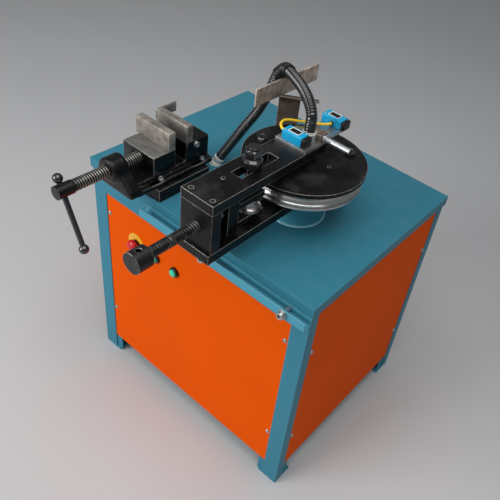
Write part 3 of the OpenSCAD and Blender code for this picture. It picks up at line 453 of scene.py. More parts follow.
def screw_steel(name, base, axis, crest, bright_from):
    f = Finish(name)
    edge = f.edge(0.0026)
    radius = f.distance((axis.x, 0, axis.z), (1, 0, 1))
    on_head = radius.above(crest + 0.0020, 0.0004)
    on_crest = radius.above(crest - 0.0005, 0.0003) * (1.0 - radius.above(crest + 0.0006, 0.0003))
    patches = f.noise(60.0, 4.0).above(0.58, 0.2)
    worn = f.part(f.place, 1).above(bright_from, 0.03) * 0.55 + patches * 0.4
    bright = (on_crest * worn + on_head * edge * f.noise(90.0, 4.0).above(0.46, 0.2)).clamped()
    grease = f.noise(30.0, 4.0)
    shown = f.mix(shade(base, 0.7), shade(base, 1.5), grease)
    shown = f.mix(shown, bare_edge, bright)
    rough = 0.26 + grease * 0.22
    return f.surface(colour=shown, roughness=rough, metallic=bright * 0.5 + 0.4,
                     normal=f.bump(grease, 0.00005))


feed_steel = screw_steel("feed_screw_steel", colour(24, 24, 25), middle("feed_screw"), feed_crest,
                         bright_from=-0.40)
vise_steel = screw_steel("vise_screw_steel", colour(24, 24, 25), middle("vise_screw"), vise_crest,
                         bright_from=-0.44)
print("screws:", feed_steel.name, vise_steel.name)


# %% Ground steel
def ground_steel(name, base, along, roughness):
    f = Finish(name)
    edge = f.edge(0.0022)
    lines = f.noise(700.0, 2.0, f.moved(along))
    smear = f.noise(26.0, 6.0)
    rust = f.noise(55.0, 5.0).above(0.57, 0.16)
    shown = f.mix(shade(base, 0.45), shade(base, 1.25), lines * 0.3 + smear.above(0.48, 0.4) * 0.7)
    shown = f.mix(shown, colour(70, 58, 47), rust * 0.5)
    # Every edge is painted near white along its whole length: a painted highlight along every edge.
    shown = f.mix(shown, colour(232, 229, 222), edge * 0.75)
    rough = roughness + (smear - 0.5) * 0.25 + rust * 0.15
    normal = f.bump(lines + smear * 0.5, 0.00008)
    return f.surface(colour=shown, roughness=rough, metallic=0.4, normal=normal)


jaw_steel = ground_steel("ground_jaw_steel", colour(158, 151, 141), along=(20.0, 1.0, 1.0),
                         roughness=0.42)
flag_steel = ground_steel("flag_strip_steel", colour(206, 186, 170), along=(1.0, 20.0, 1.0),
                          roughness=0.55)
post_steel = ground_steel("post_brown_steel", colour(104, 90, 80), along=(1.0, 1.0, 16.0),
                          roughness=0.55)
print("ground:", jaw_steel.name, flag_steel.name, post_steel.name)

# %% [markdown]
# ## Moulded plastic
# Buttons, switches and the conduit are moulded. Their skin is glossy where the mould was
# polished and slightly leathery elsewhere, and hands leave a faint haze on it. One function makes
# them all: its grain is the depth of the leather, and a clear coat gives the conduit its shine.

# %% Plastics
def moulded(name, base, roughness, grain, coat=0.0):
    f = Finish(name)
    edge = f.edge(0.0008)
    haze = f.noise(45.0, 4.0)
    shown = f.mix(shade(base, 0.86), shade(base, 1.10), haze)
    # Edges are lightened to a brighter copy of the plastic's own colour: a painted highlight.
    shown = f.mix(shown, shade(base, 1.35), edge * 0.35)
    rough = roughness + (haze - 0.5) * 0.2
    return f.surface(colour=shown, roughness=rough, normal=f.bump(f.noise(1400.0, 2.0), grain),
                     coat=coat)


red_plastic = moulded("red_button_plastic", colour(200, 16, 30), roughness=0.26, grain=0.00002)
yellow_plastic = moulded("yellow_ring_plastic", colour(240, 180, 40), roughness=0.38,
                         grain=0.00004)
green_plastic = moulded("green_button_plastic", colour(50, 206, 158), roughness=0.30,
                        grain=0.00002)
blue_plastic = moulded("blue_switch_plastic", colour(8, 164, 212), roughness=0.32, grain=0.00004)
black_plastic = moulded("black_plastic", colour(16, 16, 17), roughness=0.36, grain=0.00005)
conduit_plastic = moulded("conduit_plastic", colour(10, 10, 11), roughness=0.16, grain=0.00002,
                          coat=1.0)
white_plastic = moulded("white_nylon", colour(224, 224, 218), roughness=0.42, grain=0.00005)
grey_plastic = moulded("grey_enclosure", colour(176, 178, 180), roughness=0.50, grain=0.00006)
wire_plastic = moulded("yellow_wire_jacket", colour(250, 204, 40), roughness=0.36, grain=0.00003)
print("plastics:", red_plastic.name, green_plastic.name, blue_plastic.name, conduit_plastic.name)

# %% [markdown]
# ## The floor's own finish
# The floor is a plain pale sheet. It stays even, so that nothing on it competes with the machine.

# %% Floor finish
floor_finish = Finish("studio_floor")
floor_cloud = floor_finish.noise(1.5, 2.0)
floor_shown = floor_finish.mix(colour(196, 197, 198), colour(202, 203, 204), floor_cloud)
floor_mesh.materials.append(floor_finish.surface(colour=floor_shown, roughness=0.85))
print("floor finish:", floor_finish.material.name)

# %% [markdown]
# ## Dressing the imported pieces
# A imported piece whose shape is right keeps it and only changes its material. The list reads like
# a parts list: a finish, and the pieces that wear it.

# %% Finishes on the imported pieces
worn_by = [
    (top_coat, "table_top"),
    (teal_coat, "corner_legs top_frame bottom_frame"),
    # The trough and the boss wear the lighter teal, with light painted into its colour.
    (teal_coat_painted_lighter, "front_trough bearing_boss"),
    (orange_coat, "front_panel rear_panel left_panel right_panel"),
    (arm_enamel, "arm_bottom_plate arm_top_plate arm_bolts carriage_fork"),
    (cover_enamel, "die_cover vise_riser"),
    (die_steel, "bending_die"),
    (roller_steel, "pressure_roller"),
    (zinc, "base_shelf sensor_plate spindle"),
    (dark_zinc, "roller_axle spindle_nut drive_sleeve tommy_bar"),
    (grey_casting, "gearbox motor"),
    (flag_steel, "flag_strip"),
    (post_steel, "flag_post sensor_clamp"),
    (bronze, "boss_bushes"),
    (yellow_plastic, "estop_plate"),
    (black_plastic, "estop_collar"),
    (grey_plastic, "control_box"),
]
for finish, names in worn_by:
    for name in names.split():
        for place in nodes[name].material_slots:
            place.material = finish
print("dressed", sum(len(names.split()) for finish, names in worn_by), "pieces")

# %% [markdown]
# ## Shapes made here
# Most hardware is round or six-sided about one axis. Cylinders could be stacked and joined, but
# they leave faces hidden inside, so one lathe makes it all: a profile of rings, each round or
# hexagonal. A finished shape stands in for its imported piece, on the same body.

# %% Lathe
sharp_angle = math.radians(35)
smallest = 0.0001
same_point = 1e-6


def plain_mesh(name, made):
    """Turns a bmesh into a mesh that is smooth except at its corners."""
    mesh = bpy.data.meshes.new(name)
    made.to_mesh(mesh)
    made.free()
    if "custom_normal" in mesh.attributes:
        mesh.attributes.remove(mesh.attributes["custom_normal"])
    mesh.shade_smooth()
    mesh.set_sharp_from_angle(angle=sharp_angle)
    return mesh


hexagon = "six-sided"


def spun(name, profile, sides=48, bored=False):
    """A solid turned about Z. A ring is (radius, height), with hexagon added if it is six-sided.

    The first and last rings are capped, or joined to each other when the piece is bored through.
    """
    made = bmesh.new()
    rings = []
    for radius, height, *kind in profile:
        ring = []
        for i in range(sides):
            angle = 2 * math.pi * i / sides
            fold = angle % (math.pi / 3) - math.pi / 6
            reach = radius / math.cos(fold) if hexagon in kind else radius
            ring.append(made.verts.new((reach * math.cos(angle), reach * math.sin(angle), height)))
        rings.append(ring)
    above = rings[1:] + rings[:1] if bored else rings[1:]
    for low, high in zip(rings, above):
        for i in range(sides):
            j = (i + 1) % sides
            made.faces.new((low[i], low[j], high[j], high[i]))
    if not bored:
        made.faces.new(list(reversed(rings[0])))
        made.faces.new(rings[-1])
    return plain_mesh(name, made)


print("lathe ready")


# %% Blocks and joined shapes
def eased_block(name, low, high, ease):
    """A block between two corners, with its edges rounded."""
    low, high = Vector(low), Vector(high)
    made = bmesh.new()
    bmesh.ops.create_cube(made, size=1.0)
    bmesh.ops.scale(made, vec=high - low, verts=made.verts)
    bmesh.ops.translate(made, vec=(low + high) / 2, verts=made.verts)
    bmesh.ops.bevel(made, geom=made.edges[:], offset=ease, segments=3, profile=0.5, affect="EDGES")
    return plain_mesh(name, made)


def merged(name, parts):
    """One mesh from several, each moved by its own matrix."""
    made = bmesh.new()
    for part, matrix in parts:
        moved = part.copy()
        moved.transform(matrix)
        made.from_mesh(moved)
        bpy.data.meshes.remove(moved)
    return plain_mesh(name, made)


print("blocks ready")


# %% Stand-ins
def add_piece(name, mesh, finish, body):
    mesh.materials.clear()
    mesh.materials.append(finish)
    piece = bpy.data.objects.new(name, mesh)
    bpy.context.scene.collection.objects.link(piece)
    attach(piece, body)
    return piece


def stand_in(node, mesh, finish):
    piece = add_piece(node + "_made", mesh, finish, body_of[node])
    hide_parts(node)


print("stand-ins ready")


# %% Places and turns
def solids(node):
    """(lowest, highest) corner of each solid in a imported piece. Solids that share points are one."""
    made = bmesh.new()
    made.from_mesh(nodes[node].data)
    bmesh.ops.remove_doubles(made, verts=made.verts, dist=same_point)
    left = set(made.verts)
    found = []
    while left:
        queue = [left.pop()]
        points = []
        while queue:
            vertex = queue.pop()
            points.append(vertex.co.copy())
            near = {edge.other_vert(vertex) for edge in vertex.link_edges} & left
            left -= near
            queue += near
        found.append((Vector(map(min, zip(*points))), Vector(map(max, zip(*points)))))
    made.free()
    return sorted(found, key=lambda corners: tuple(corners[0]))


def at(place, turn=(0, 0, 0)):
    """A matrix that turns a shape made about Z and then moves it to a place."""
    spin = [Matrix.Rotation(angle, 4, axis) for angle, axis in zip(turn, "XYZ")]
    return Matrix.Translation(place) @ spin[2] @ spin[1] @ spin[0]


quarter = math.pi / 2
to_front = (quarter, 0, 0)
to_rear = (-quarter, 0, 0)
to_right = (0, quarter, 0)
to_left = (0, -quarter, 0)
print("panel screws found:", len(solids("panel_screws")))

# %% [markdown]
# ## Geometry trees
# What repeats or follows a path is grown by a geometry tree: a thread winds, a bolt is placed many
# times and ribs run along a hose. A tree's inputs have names, and it ends as one real mesh with
# its material set, because an export drops instances. `grow` sets the inputs, evaluates the tree
# once and keeps only the plain mesh.

# %% Recipes
class Recipe(Graph):
    """A geometry tree with named inputs, which ends as one real mesh."""

    def __init__(self, name, inputs):
        super().__init__(bpy.data.node_groups.new(name, "GeometryNodeTree"))
        ends = self.tree.interface
        ends.new_socket("Geometry", in_out="INPUT", socket_type="NodeSocketGeometry")
        for label, kind in inputs.items():
            ends.new_socket(label, in_out="INPUT", socket_type="NodeSocket" + kind)
        ends.new_socket("Finish", in_out="INPUT", socket_type="NodeSocketMaterial")
        ends.new_socket("Geometry", in_out="OUTPUT", socket_type="NodeSocketGeometry")
        self.given = self.tree.nodes.new("NodeGroupInput").outputs

    def number(self, label):
        return Value(self, self.given[label])

    def end(self, geometry):
        real = self.node("GeometryNodeRealizeInstances", {}, {"Geometry": geometry})
        painted = self.node("GeometryNodeSetMaterial", {},
                            {"Geometry": real.outputs[0], "Material": self.given["Finish"]})
        last = self.tree.nodes.new("NodeGroupOutput")
        self.tree.links.new(painted.outputs[0], last.inputs[0])

    def grow(self, mesh, **settings):
        seed = bpy.data.objects.new("seed", mesh)
        bpy.context.scene.collection.objects.link(seed)
        modifier = seed.modifiers.new("recipe", "NODES")
        modifier.node_group = self.tree
        for item in self.tree.interface.items_tree:
            if item.in_out == "INPUT" and item.name in settings:
                modifier[item.identifier] = settings[item.name]
        graph = bpy.context.evaluated_depsgraph_get()
        grown = bpy.data.meshes.new_from_object(seed.evaluated_get(graph))
        bpy.data.objects.remove(seed)
        return grown


print("recipes ready")

# %% [markdown]
# A thread is a flat grid rolled into a tube. Across the grid is the turn, along it is the length,
# and the radius dips by the thread's depth once for every pitch, one pitch later for every turn.
# A Screw modifier could wind a profile too, but a rolled grid has flat ends, which are easy to cap.

# %% Thread
flank_slope = 1.5
crest_share = 0.25
thread = Recipe("threaded_rod", {"Radius": "Float", "Depth": "Float", "Pitch": "Float",
                                 "Length": "Float", "Steps": "Int", "Sides": "Int"})
grid = thread.node("GeometryNodeMeshGrid", {}, {
    "Size X": 1.0, "Size Y": 1.0, "Vertices X": thread.given["Steps"],
    "Vertices Y": thread.given["Sides"]})
grid_place = thread.node("GeometryNodeInputPosition", {}, {}).outputs[0]
along = (thread.part(grid_place, 0) + 0.5) * thread.number("Length")
turned = thread.part(grid_place, 1) + 0.5
angle = turned * (-2 * math.pi)
dip = ((along / thread.number("Pitch") + turned).fraction() * 2.0 - 1.0).size()
radius = thread.number("Radius") - thread.number("Depth") * (
    dip * flank_slope - crest_share).clamped()
rolled = thread.node("ShaderNodeCombineXYZ", {},
                     {0: radius * angle.cosine(), 1: radius * angle.sine(), 2: along})
moved = thread.node("GeometryNodeSetPosition", {},
                    {"Geometry": grid.outputs[0], "Position": rolled.outputs[0]})
closed = thread.node("GeometryNodeMergeByDistance", {},
                     {"Geometry": moved.outputs[0], "Distance": same_point})
thread.end(closed.outputs[0])
print("thread tree:", len(thread.tree.nodes), "nodes")

# %% [markdown]
# Bolts are one template placed at many points. Each point carries its own turn as a named
# attribute, so that a screw on the side of the cabinet points sideways. Copies in a loop would do as
# well, but the tree ends with the one mesh that a body needs.

# %% Bolts at points
scatter = Recipe("bolts_at_points", {"Template": "Object"})
points = scatter.node("GeometryNodeMeshToPoints", {}, {"Mesh": scatter.given["Geometry"]})
template = scatter.node("GeometryNodeObjectInfo", {}, {"Object": scatter.given["Template"]})
turn = scatter.node("GeometryNodeInputNamedAttribute", {"data_type": "FLOAT_VECTOR"},
                    {"Name": "turn"})
turn = scatter.node("FunctionNodeEulerToRotation", {}, {"Euler": turn.outputs[0]})
bolts = scatter.node("GeometryNodeInstanceOnPoints", {}, {
    "Points": points.outputs[0], "Instance": template.outputs["Geometry"],
    "Rotation": turn.outputs[0]})
scatter.end(bolts.outputs[0])


def bolted(name, template_mesh, places, finish):
    """The template at each (place, turn), as one mesh."""
    mesh = bpy.data.meshes.new(name)
    mesh.from_pydata([place for place, turn in places], [], [])
    turns = mesh.attributes.new("turn", "FLOAT_VECTOR", "POINT")
    for item, (place, turn) in zip(turns.data, places):
        item.vector = turn
    template_object = bpy.data.objects.new("template", template_mesh)
    bpy.context.scene.collection.objects.link(template_object)
    grown = scatter.grow(mesh, Template=template_object, Finish=finish)
    bpy.data.objects.remove(template_object)
    grown.set_sharp_from_angle(angle=sharp_angle)
    return grown


print("bolt tree:", len(scatter.tree.nodes), "nodes")

# %% [markdown]
# A hose follows a route. A curve with a round bevel would be quicker, but it has no ribs. So the
# route is smoothed, cut into short equal steps and swept with a circle whose size swings once for
# every rib. With no rib depth the same tree makes a plain wire.

# %% Hose along a route
hose = Recipe("ribbed_hose", {"Radius": "Float", "Depth": "Float", "Pitch": "Float",
                              "Step": "Float", "Sides": "Int"})
route = hose.node("GeometryNodeMeshToCurve", {}, {"Mesh": hose.given["Geometry"]})
route = hose.node("GeometryNodeCurveSplineType", {"spline_type": "CATMULL_ROM"},
                  {"Curve": route.outputs[0]})
route = hose.node("GeometryNodeResampleCurve", {"mode": "LENGTH"},
                  {"Curve": route.outputs[0], "Length": hose.given["Step"]})
run = Value(hose, hose.node("GeometryNodeSplineParameter", {}, {}).outputs["Length"])
swing = (run / hose.number("Pitch") * (2 * math.pi)).cosine() * 0.5 + 0.5
ring = hose.node("GeometryNodeCurvePrimitiveCircle", {},
                 {"Resolution": hose.given["Sides"], "Radius": 1.0})
swept = hose.node("GeometryNodeCurveToMesh", {}, {
    "Curve": route.outputs[0], "Profile Curve": ring.outputs[0],
    "Scale": hose.number("Radius") - hose.number("Depth") * swing, "Fill Caps": True})
smooth = hose.node("GeometryNodeSetShadeSmooth", {}, {"Geometry": swept.outputs[0]})
hose.end(smooth.outputs[0])


def along_route(name, places, **settings):
    mesh = bpy.data.meshes.new(name)
    mesh.from_pydata(places, [(i, i + 1) for i in range(len(places) - 1)], [])
    return hose.grow(mesh, **settings)


print("hose tree:", len(hose.tree.nodes), "nodes")

# %% [markdown]
# ## Castings and filed plates
# A sand casting has no sharp edge anywhere. A bevel loses its way where a casting's many curved
# shapes meet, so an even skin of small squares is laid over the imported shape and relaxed, which
# leaves flat faces flat and rounds the corners. The sliding jaw is milled, and the jaw plates and
# the arm's front block are cut from steel, so only their corners are broken.

# %% Rounding over
sliding_room = 0.0004
bore_reach = 0.016
flat_angle = math.radians(2)


def soft_casting(node, voxel, passes, softer_to, softer_passes):
    """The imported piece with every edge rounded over, as it comes out of a sand mould.

    What lies in front of softer_to, along Y, is rounded further. The screw's bore is left alone,
    because rounding would close it. Rounding also fills inside corners a little, so the skin is
    drawn in by enough for the jaw to slide past.
    """
    source = bpy.data.objects.new("casting", nodes[node].data.copy())
    bpy.context.scene.collection.objects.link(source)
    remesh = source.modifiers.new("even", "REMESH")
    remesh.mode = "VOXEL"
    remesh.voxel_size = voxel
    graph = bpy.context.evaluated_depsgraph_get()
    made = bmesh.new()
    made.from_mesh(bpy.data.meshes.new_from_object(source.evaluated_get(graph)))
    bpy.data.objects.remove(source)
    axis = middle("vise_screw")
    skin = [v for v in made.verts if math.hypot(v.co.x - axis.x, v.co.z - axis.z) > bore_reach]
    front = [v for v in skin if v.co.y < softer_to]
    for moved, times in ((skin, passes), (front, softer_passes)):
        for i in range(times):
            bmesh.ops.smooth_vert(made, verts=moved, factor=0.5, use_axis_x=True, use_axis_y=True,
                                  use_axis_z=True)
    made.normal_update()
    for v in made.verts:
        v.co -= v.normal * sliding_room
    return plain_mesh(node, made)


def eased_plate(node, ease):
    """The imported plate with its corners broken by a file."""
    made = bmesh.new()
    made.from_mesh(nodes[node].data)
    bmesh.ops.remove_doubles(made, verts=made.verts, dist=same_point)
    bmesh.ops.dissolve_limit(made, angle_limit=flat_angle, verts=made.verts, edges=made.edges)
    edges = [edge for edge in made.edges if edge.is_manifold]
    corners = [edge for edge in edges if edge.calc_face_angle() > sharp_angle]
    bmesh.ops.bevel(made, geom=corners, offset=ease, segments=2, profile=0.5, affect="EDGES",
                    clamp_overlap=True)
    return plain_mesh(node, made)


print("points within", bore_reach, "m of the screw's axis are left alone")

# %% Castings and plates
yoke_back = -0.334
filed_corner = 0.0010
vise_casting = soft_casting("vise_base", voxel=0.0016, passes=8, softer_to=yoke_back,
                            softer_passes=30)
stand_in("vise_base", vise_casting, cast_black)
filed = {"moving_jaw": milled_black, "fixed_jaw_plate": jaw_steel, "moving_jaw_plate": jaw_steel,
         "jaw_end_strip": jaw_steel, "arm_front_block": arm_enamel}
for node, finish in filed.items():
    stand_in(node, eased_plate(node, filed_corner), finish)
print("castings 1, filed plates", len(filed))

# %% [markdown]
# ## The two screws
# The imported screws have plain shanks, because a thread is too fine for a collision shape. Each
# keeps its packed head and nose: the shank between them is cut out, and a real thread goes in. The
# cuts are capped, and the thread ends in the last of the shank, short of what the nose turns in.

# %% Screws with threads
screw_pitch = 0.006
screw_depth = 0.0014
steps_in_pitch = 10
screw_sides = 49
head_bite = 0.002
nose_bite = 0.0002


def closed_ends(name, made):
    """Caps every open end of a shape, and turns its faces outwards."""
    open_edges = [edge for edge in made.edges if edge.is_boundary]
    bmesh.ops.holes_fill(made, edges=open_edges, sides=0)
    bmesh.ops.recalc_face_normals(made, faces=made.faces)
    return plain_mesh(name, made)


def rod(radius, depth, pitch, length, finish):
    made = bmesh.new()
    made.from_mesh(thread.grow(
        bpy.data.meshes.new("rod"), Radius=radius, Depth=depth, Pitch=pitch, Length=length,
        Steps=round(length / pitch * steps_in_pitch) + 1, Sides=screw_sides, Finish=finish))
    return closed_ends("rod", made)


def without_shank(node, start, end):
    """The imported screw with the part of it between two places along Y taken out."""
    made = bmesh.new()
    made.from_mesh(nodes[node].data)
    bmesh.ops.remove_doubles(made, verts=made.verts, dist=same_point)
    for cut in (start, end):
        parts = made.verts[:] + made.edges[:] + made.faces[:]
        bmesh.ops.bisect_plane(made, geom=parts, plane_co=(0, cut, 0), plane_no=(0, 1, 0))
    shank = [face for face in made.faces if start < face.calc_center_median().y < end]
    bmesh.ops.delete(made, geom=shank, context="FACES")
    return closed_ends(node, made)


def threaded_screw(node, head_length, nose_length, crest, finish):
    low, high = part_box(node)
    axis = middle(node)
    start = low.y + head_length
    end = high.y - nose_length
    body = without_shank(node, start, end)
    shank = rod(crest, screw_depth, screw_pitch, end - start + head_bite + nose_bite, finish)
    seat = at((axis.x, start - head_bite, axis.z), to_rear)
    stand_in(node, merged(node, [(body, Matrix.Identity(4)), (shank, seat)]), finish)
    print(node, "thread of", round((end - start) / screw_pitch, 1), "turns")


screw_head = 0.0391
threaded_screw("feed_screw", screw_head, 0.0164, feed_crest, feed_steel)
threaded_screw("vise_screw", screw_head, 0.0184, vise_crest, vise_steel)

# %% [markdown]
# ## Bolts, nuts and screws
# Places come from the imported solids, so the hardware follows the model if a size changes there.
# A hexagon head has its corners chamfered round, and a socket head has a six-sided pocket.

# %% Hexagon and socket heads
def hexagon_head(name, across, height, chamfer):
    r = across / 2
    return spun(name, [
        (r * 0.94, 0), (r, chamfer * 0.4, hexagon), (r, height - chamfer, hexagon),
        (r * 0.93, height), (r * 0.80, height), (r * 0.74, height - chamfer * 0.35),
        (smallest, height - chamfer * 0.35)])


def washer_rings(radius, thickness):
    ease = thickness * 0.2
    return [(radius - ease, 0), (radius, ease), (radius, thickness - ease),
            (radius - ease, thickness)]


print("heads ready")

# %% [markdown]
# The panels are held by small round-headed screws, each on a washer. A packed screw is a plain
# solid, so its longer side and the side of the cabinet that it is on tell which way it points.

# %% Panel screws
pan_height = 0.003
pan_screw = spun("pan_screw", washer_rings(0.0062, 0.0008) + [
    (0.0050, 0.0008), (0.0050, 0.0018), (0.0044, 0.0026), (0.0032, 0.0030),
    (0.0021, 0.0031, hexagon), (0.0021, 0.0014, hexagon), (smallest, 0.0014, hexagon)])


def panel_seat(low, high):
    """Where a packed screw's head meets its panel, and which way it faces."""
    x, y, z = (low + high) / 2
    along_y = high.y - low.y > high.x - low.x
    if along_y and y > 0:
        return (x, high.y - pan_height, z), to_rear
    if along_y:
        return (x, low.y + pan_height, z), to_front
    if x > 0:
        return (high.x - pan_height, y, z), to_right
    return (low.x + pan_height, y, z), to_left


screw_places = [panel_seat(low, high) for low, high in solids("panel_screws")]
stand_in("panel_screws", bolted("panel_screws", pan_screw, screw_places, zinc), zinc)
print("panel screws", len(screw_places))

# %% [markdown]
# The trough's bolts and the vise's small side screw have a round head with a six-sided pocket for a
# key. The pocket could be cut out afterwards, but on the lathe it is only three more rings.

# %% Trough bolts and jaw lock screw
bolt_reach = 0.012
trough_shank = 0.030
socket_bolt = spun("socket_bolt", [(0.0055, -trough_shank), (0.0060, -trough_shank + 0.0005),
                                   (0.0060, 0)] + washer_rings(0.011, 0.003) + [
    (0.0090, 0.003), (0.0090, 0.0110), (0.0084, bolt_reach), (0.0066, bolt_reach),
    (0.0048, bolt_reach, hexagon), (0.0048, 0.006, hexagon), (smallest, 0.006, hexagon)])
trough_places = [(((low.x + high.x) / 2, low.y + bolt_reach, (low.z + high.z) / 2), to_front)
                 for low, high in solids("trough_bolts")]
stand_in("trough_bolts", bolted("trough_bolts", socket_bolt, trough_places, zinc), zinc)

lock_low, lock_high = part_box("jaw_lock_screw")
lock_centre = middle("jaw_lock_screw")
lock_head = 0.008
lock_screw = spun("lock_screw", [
    (0.0030, lock_low.x - lock_high.x + lock_head), (0.0030, 0), (0.0076, 0),
    (0.0080, 0.0004), (0.0080, 0.0070), (0.0073, lock_head), (0.0056, lock_head),
    (0.0040, lock_head, hexagon), (0.0040, 0.0036, hexagon), (smallest, 0.0036, hexagon)])
lock_seat = at((lock_high.x - lock_head, lock_centre.y, lock_centre.z), to_right)
stand_in("jaw_lock_screw", merged("jaw_lock_screw", [(lock_screw, lock_seat)]), zinc)
print("trough bolts", len(trough_places))

# %% [markdown]
# The bolts on the die's cover, the vise and the flag's post stand upright. Heads are never tightened
# to one angle, so each is turned a little further than the last.

# %% Upright bolts
first_turn = 0.2
turn_step = 0.37


def upright(node, head_height):
    """Seats of bolts that stand along Z, each turned a little further than the last."""
    return [(((low.x + high.x) / 2, (low.y + high.y) / 2, high.z - head_height),
             (0, 0, first_turn + turn_step * i)) for i, (low, high) in enumerate(solids(node))]


for node, across, height, finish in (("cover_bolts", 0.024, 0.011, dark_zinc),
                                     ("vise_bolts", 0.012, 0.006, zinc),
                                     ("post_bolts", 0.013, 0.006, zinc)):
    head = hexagon_head(node, across, height, height * 0.16)
    stand_in(node, bolted(node, head, upright(node, height), finish), finish)

print("upright bolts made")

# %% [markdown]
# The roller's axle is held by nuts over a washer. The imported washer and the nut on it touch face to
# face, so they are one solid, and they are turned here as one round collar. The nut above it is a
# hexagon. Splitting that solid would show the lower nut's flats as well.

# %% Axle nuts
nut_across = 0.032
nut_chamfer = 0.0022
nut_first_turn = 0.30
nut_turn_step = 0.22
nut_centre = middle("axle_nuts")
nut_solids = sorted(solids("axle_nuts"), key=lambda corners: corners[0].z)
collar_low, collar_high = nut_solids[0]
nut_height = nut_solids[1][1].z - nut_solids[1][0].z
nut_flat = nut_across / 2
nut = spun("axle_nut", [
    (nut_flat * 0.93, 0), (nut_flat, nut_chamfer, hexagon),
    (nut_flat, nut_height - nut_chamfer, hexagon), (nut_flat * 0.93, nut_height),
    (nut_flat * 0.8, nut_height)])
nut_places = [((nut_centre.x, nut_centre.y, low.z), (0, 0, nut_first_turn + nut_turn_step * i))
              for i, (low, high) in enumerate(nut_solids[1:])]
nuts = bolted("axle_nuts", nut, nut_places, dark_zinc)
collar = spun("axle_collar", washer_rings((collar_high.x - collar_low.x) / 2,
                                          collar_high.z - collar_low.z))
collar_seat = at((nut_centre.x, nut_centre.y, collar_low.z))
stand_in("axle_nuts", merged("axle_nuts", [(nuts, Matrix.Identity(4)), (collar, collar_seat)]),
         dark_zinc)
print("hexagon nuts over the collar:", len(nut_places))

# %% [markdown]
# ## Push buttons
# The controls are turned on the same lathe, with heights measured out from the front panel. The
# emergency stop has a mushroom head that a palm can find, and each green cap stands a little proud
# of its black bezel.

# %% Push buttons
panel_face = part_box("front_panel")[0].y


def on_panel(node, profile, finish, bored=False):
    turned_part = spun(node, profile, bored=bored)
    places = [(((low.x + high.x) / 2, panel_face, (low.z + high.z) / 2), to_front)
              for low, high in solids(node)]
    stand_in(node, bolted(node, turned_part, places, finish), finish)


on_panel("estop_button", [
    (0.0046, -0.026), (0.0050, -0.0255), (0.0050, 0.0100), (0.0154, 0.0100),
    (0.0168, 0.0106), (0.0170, 0.0120), (0.0170, 0.0150), (0.0164, 0.0176),
    (0.0147, 0.0200), (0.0120, 0.0221), (0.0085, 0.0237), (0.0044, 0.0247),
    (smallest, 0.0250)], red_plastic)
green_cap = [(0.0036, -0.024), (0.0040, -0.0235), (0.0040, 0.0065), (0.0096, 0.0065),
             (0.0100, 0.0070), (0.0100, 0.0098), (0.0095, 0.0109), (0.0082, 0.0117),
             (0.0050, 0.0121), (smallest, 0.0122)]
for node in ("start_button", "jog_button"):
    on_panel(node, green_cap, green_plastic)
on_panel("button_bezels", [
    (0.0043, -0.028), (0.0078, -0.028), (0.0078, 0.0), (0.0137, 0.0),
    (0.0140, 0.0006), (0.0140, 0.0052), (0.0135, 0.0064), (0.0124, 0.0070),
    (0.0110, 0.0070), (0.0104, 0.0064), (0.0104, 0.0030), (0.0043, 0.0030)],
    black_plastic, bored=True)
print("front panel face at", round(panel_face, 4))

# %% [markdown]
# ## Routes
# The conduit climbs from its gland on the table, past the flag and over to the swing axis, and the
# wire runs between the two switches. Both repeat the model's route points. They come first, because
# the glands and the switches' grommets sit at their ends.

# %% Routes
conduit_route = [
    (-0.131, -0.062, 0.709), (-0.127, -0.058, 0.719), (-0.118, -0.048, 0.741),
    (-0.107, -0.036, 0.768), (-0.092, -0.021, 0.804), (-0.076, -0.005, 0.840),
    (-0.065, 0.009, 0.875), (-0.060, 0.020, 0.908), (-0.055, 0.032, 0.940),
    (-0.039, 0.038, 0.959), (-0.014, 0.024, 0.966), (0.024, -0.001, 0.971),
    (0.059, -0.022, 0.971), (0.088, -0.040, 0.966), (0.108, -0.052, 0.956),
    (0.119, -0.059, 0.944), (0.121, -0.060, 0.934), (0.121, -0.060, 0.921),
    (0.121, -0.060, 0.908)]
wire_route = [
    (0.0926, -0.108, 0.912), (0.087, -0.108, 0.912), (0.081, -0.107, 0.912), (0.070, -0.098, 0.913),
    (0.064, -0.082, 0.913), (0.067, -0.064, 0.910), (0.083, -0.045, 0.907), (0.101, -0.031, 0.907),
    (0.119, -0.020, 0.908), (0.131, -0.010, 0.909), (0.134, -0.002, 0.909), (0.134, 0.0036, 0.909)]
print("route points: conduit", len(conduit_route), "wire", len(wire_route))

# %% [markdown]
# ## Limit switches, sensor and glands
# Each limit switch is a blue moulded box with a black nose, a dark window in a white frame and two
# small screws. A few blocks with eased edges make it, because a mould leaves every corner soft.

# %% Window of a switch
arm_body = body_of["switch_front"]
window_rim = 0.0022
window_depth = 0.0008
window_half_x = 0.014
window_half_y = 0.009
window_rise = 0.0015


def window_frame(name, low, high):
    """A low block with a sunk top."""
    made = bmesh.new()
    made.from_mesh(eased_block(name, low, high, 0.0004))
    top = max(made.faces,
              key=lambda face: (round(face.calc_center_median().z, 6), face.calc_area()))
    bmesh.ops.inset_individual(made, faces=[top], thickness=window_rim, depth=0.0)
    bmesh.ops.translate(made, vec=(0, 0, -window_depth), verts=top.verts)
    return plain_mesh(name, made)


print("window sunk", window_depth, "m")


# %% Limit switches
nose_length = 0.009
nose_root = 0.002
nose_inset = 0.0012
switch_screw_x = 0.0205
switch_screw_y = 0.0095


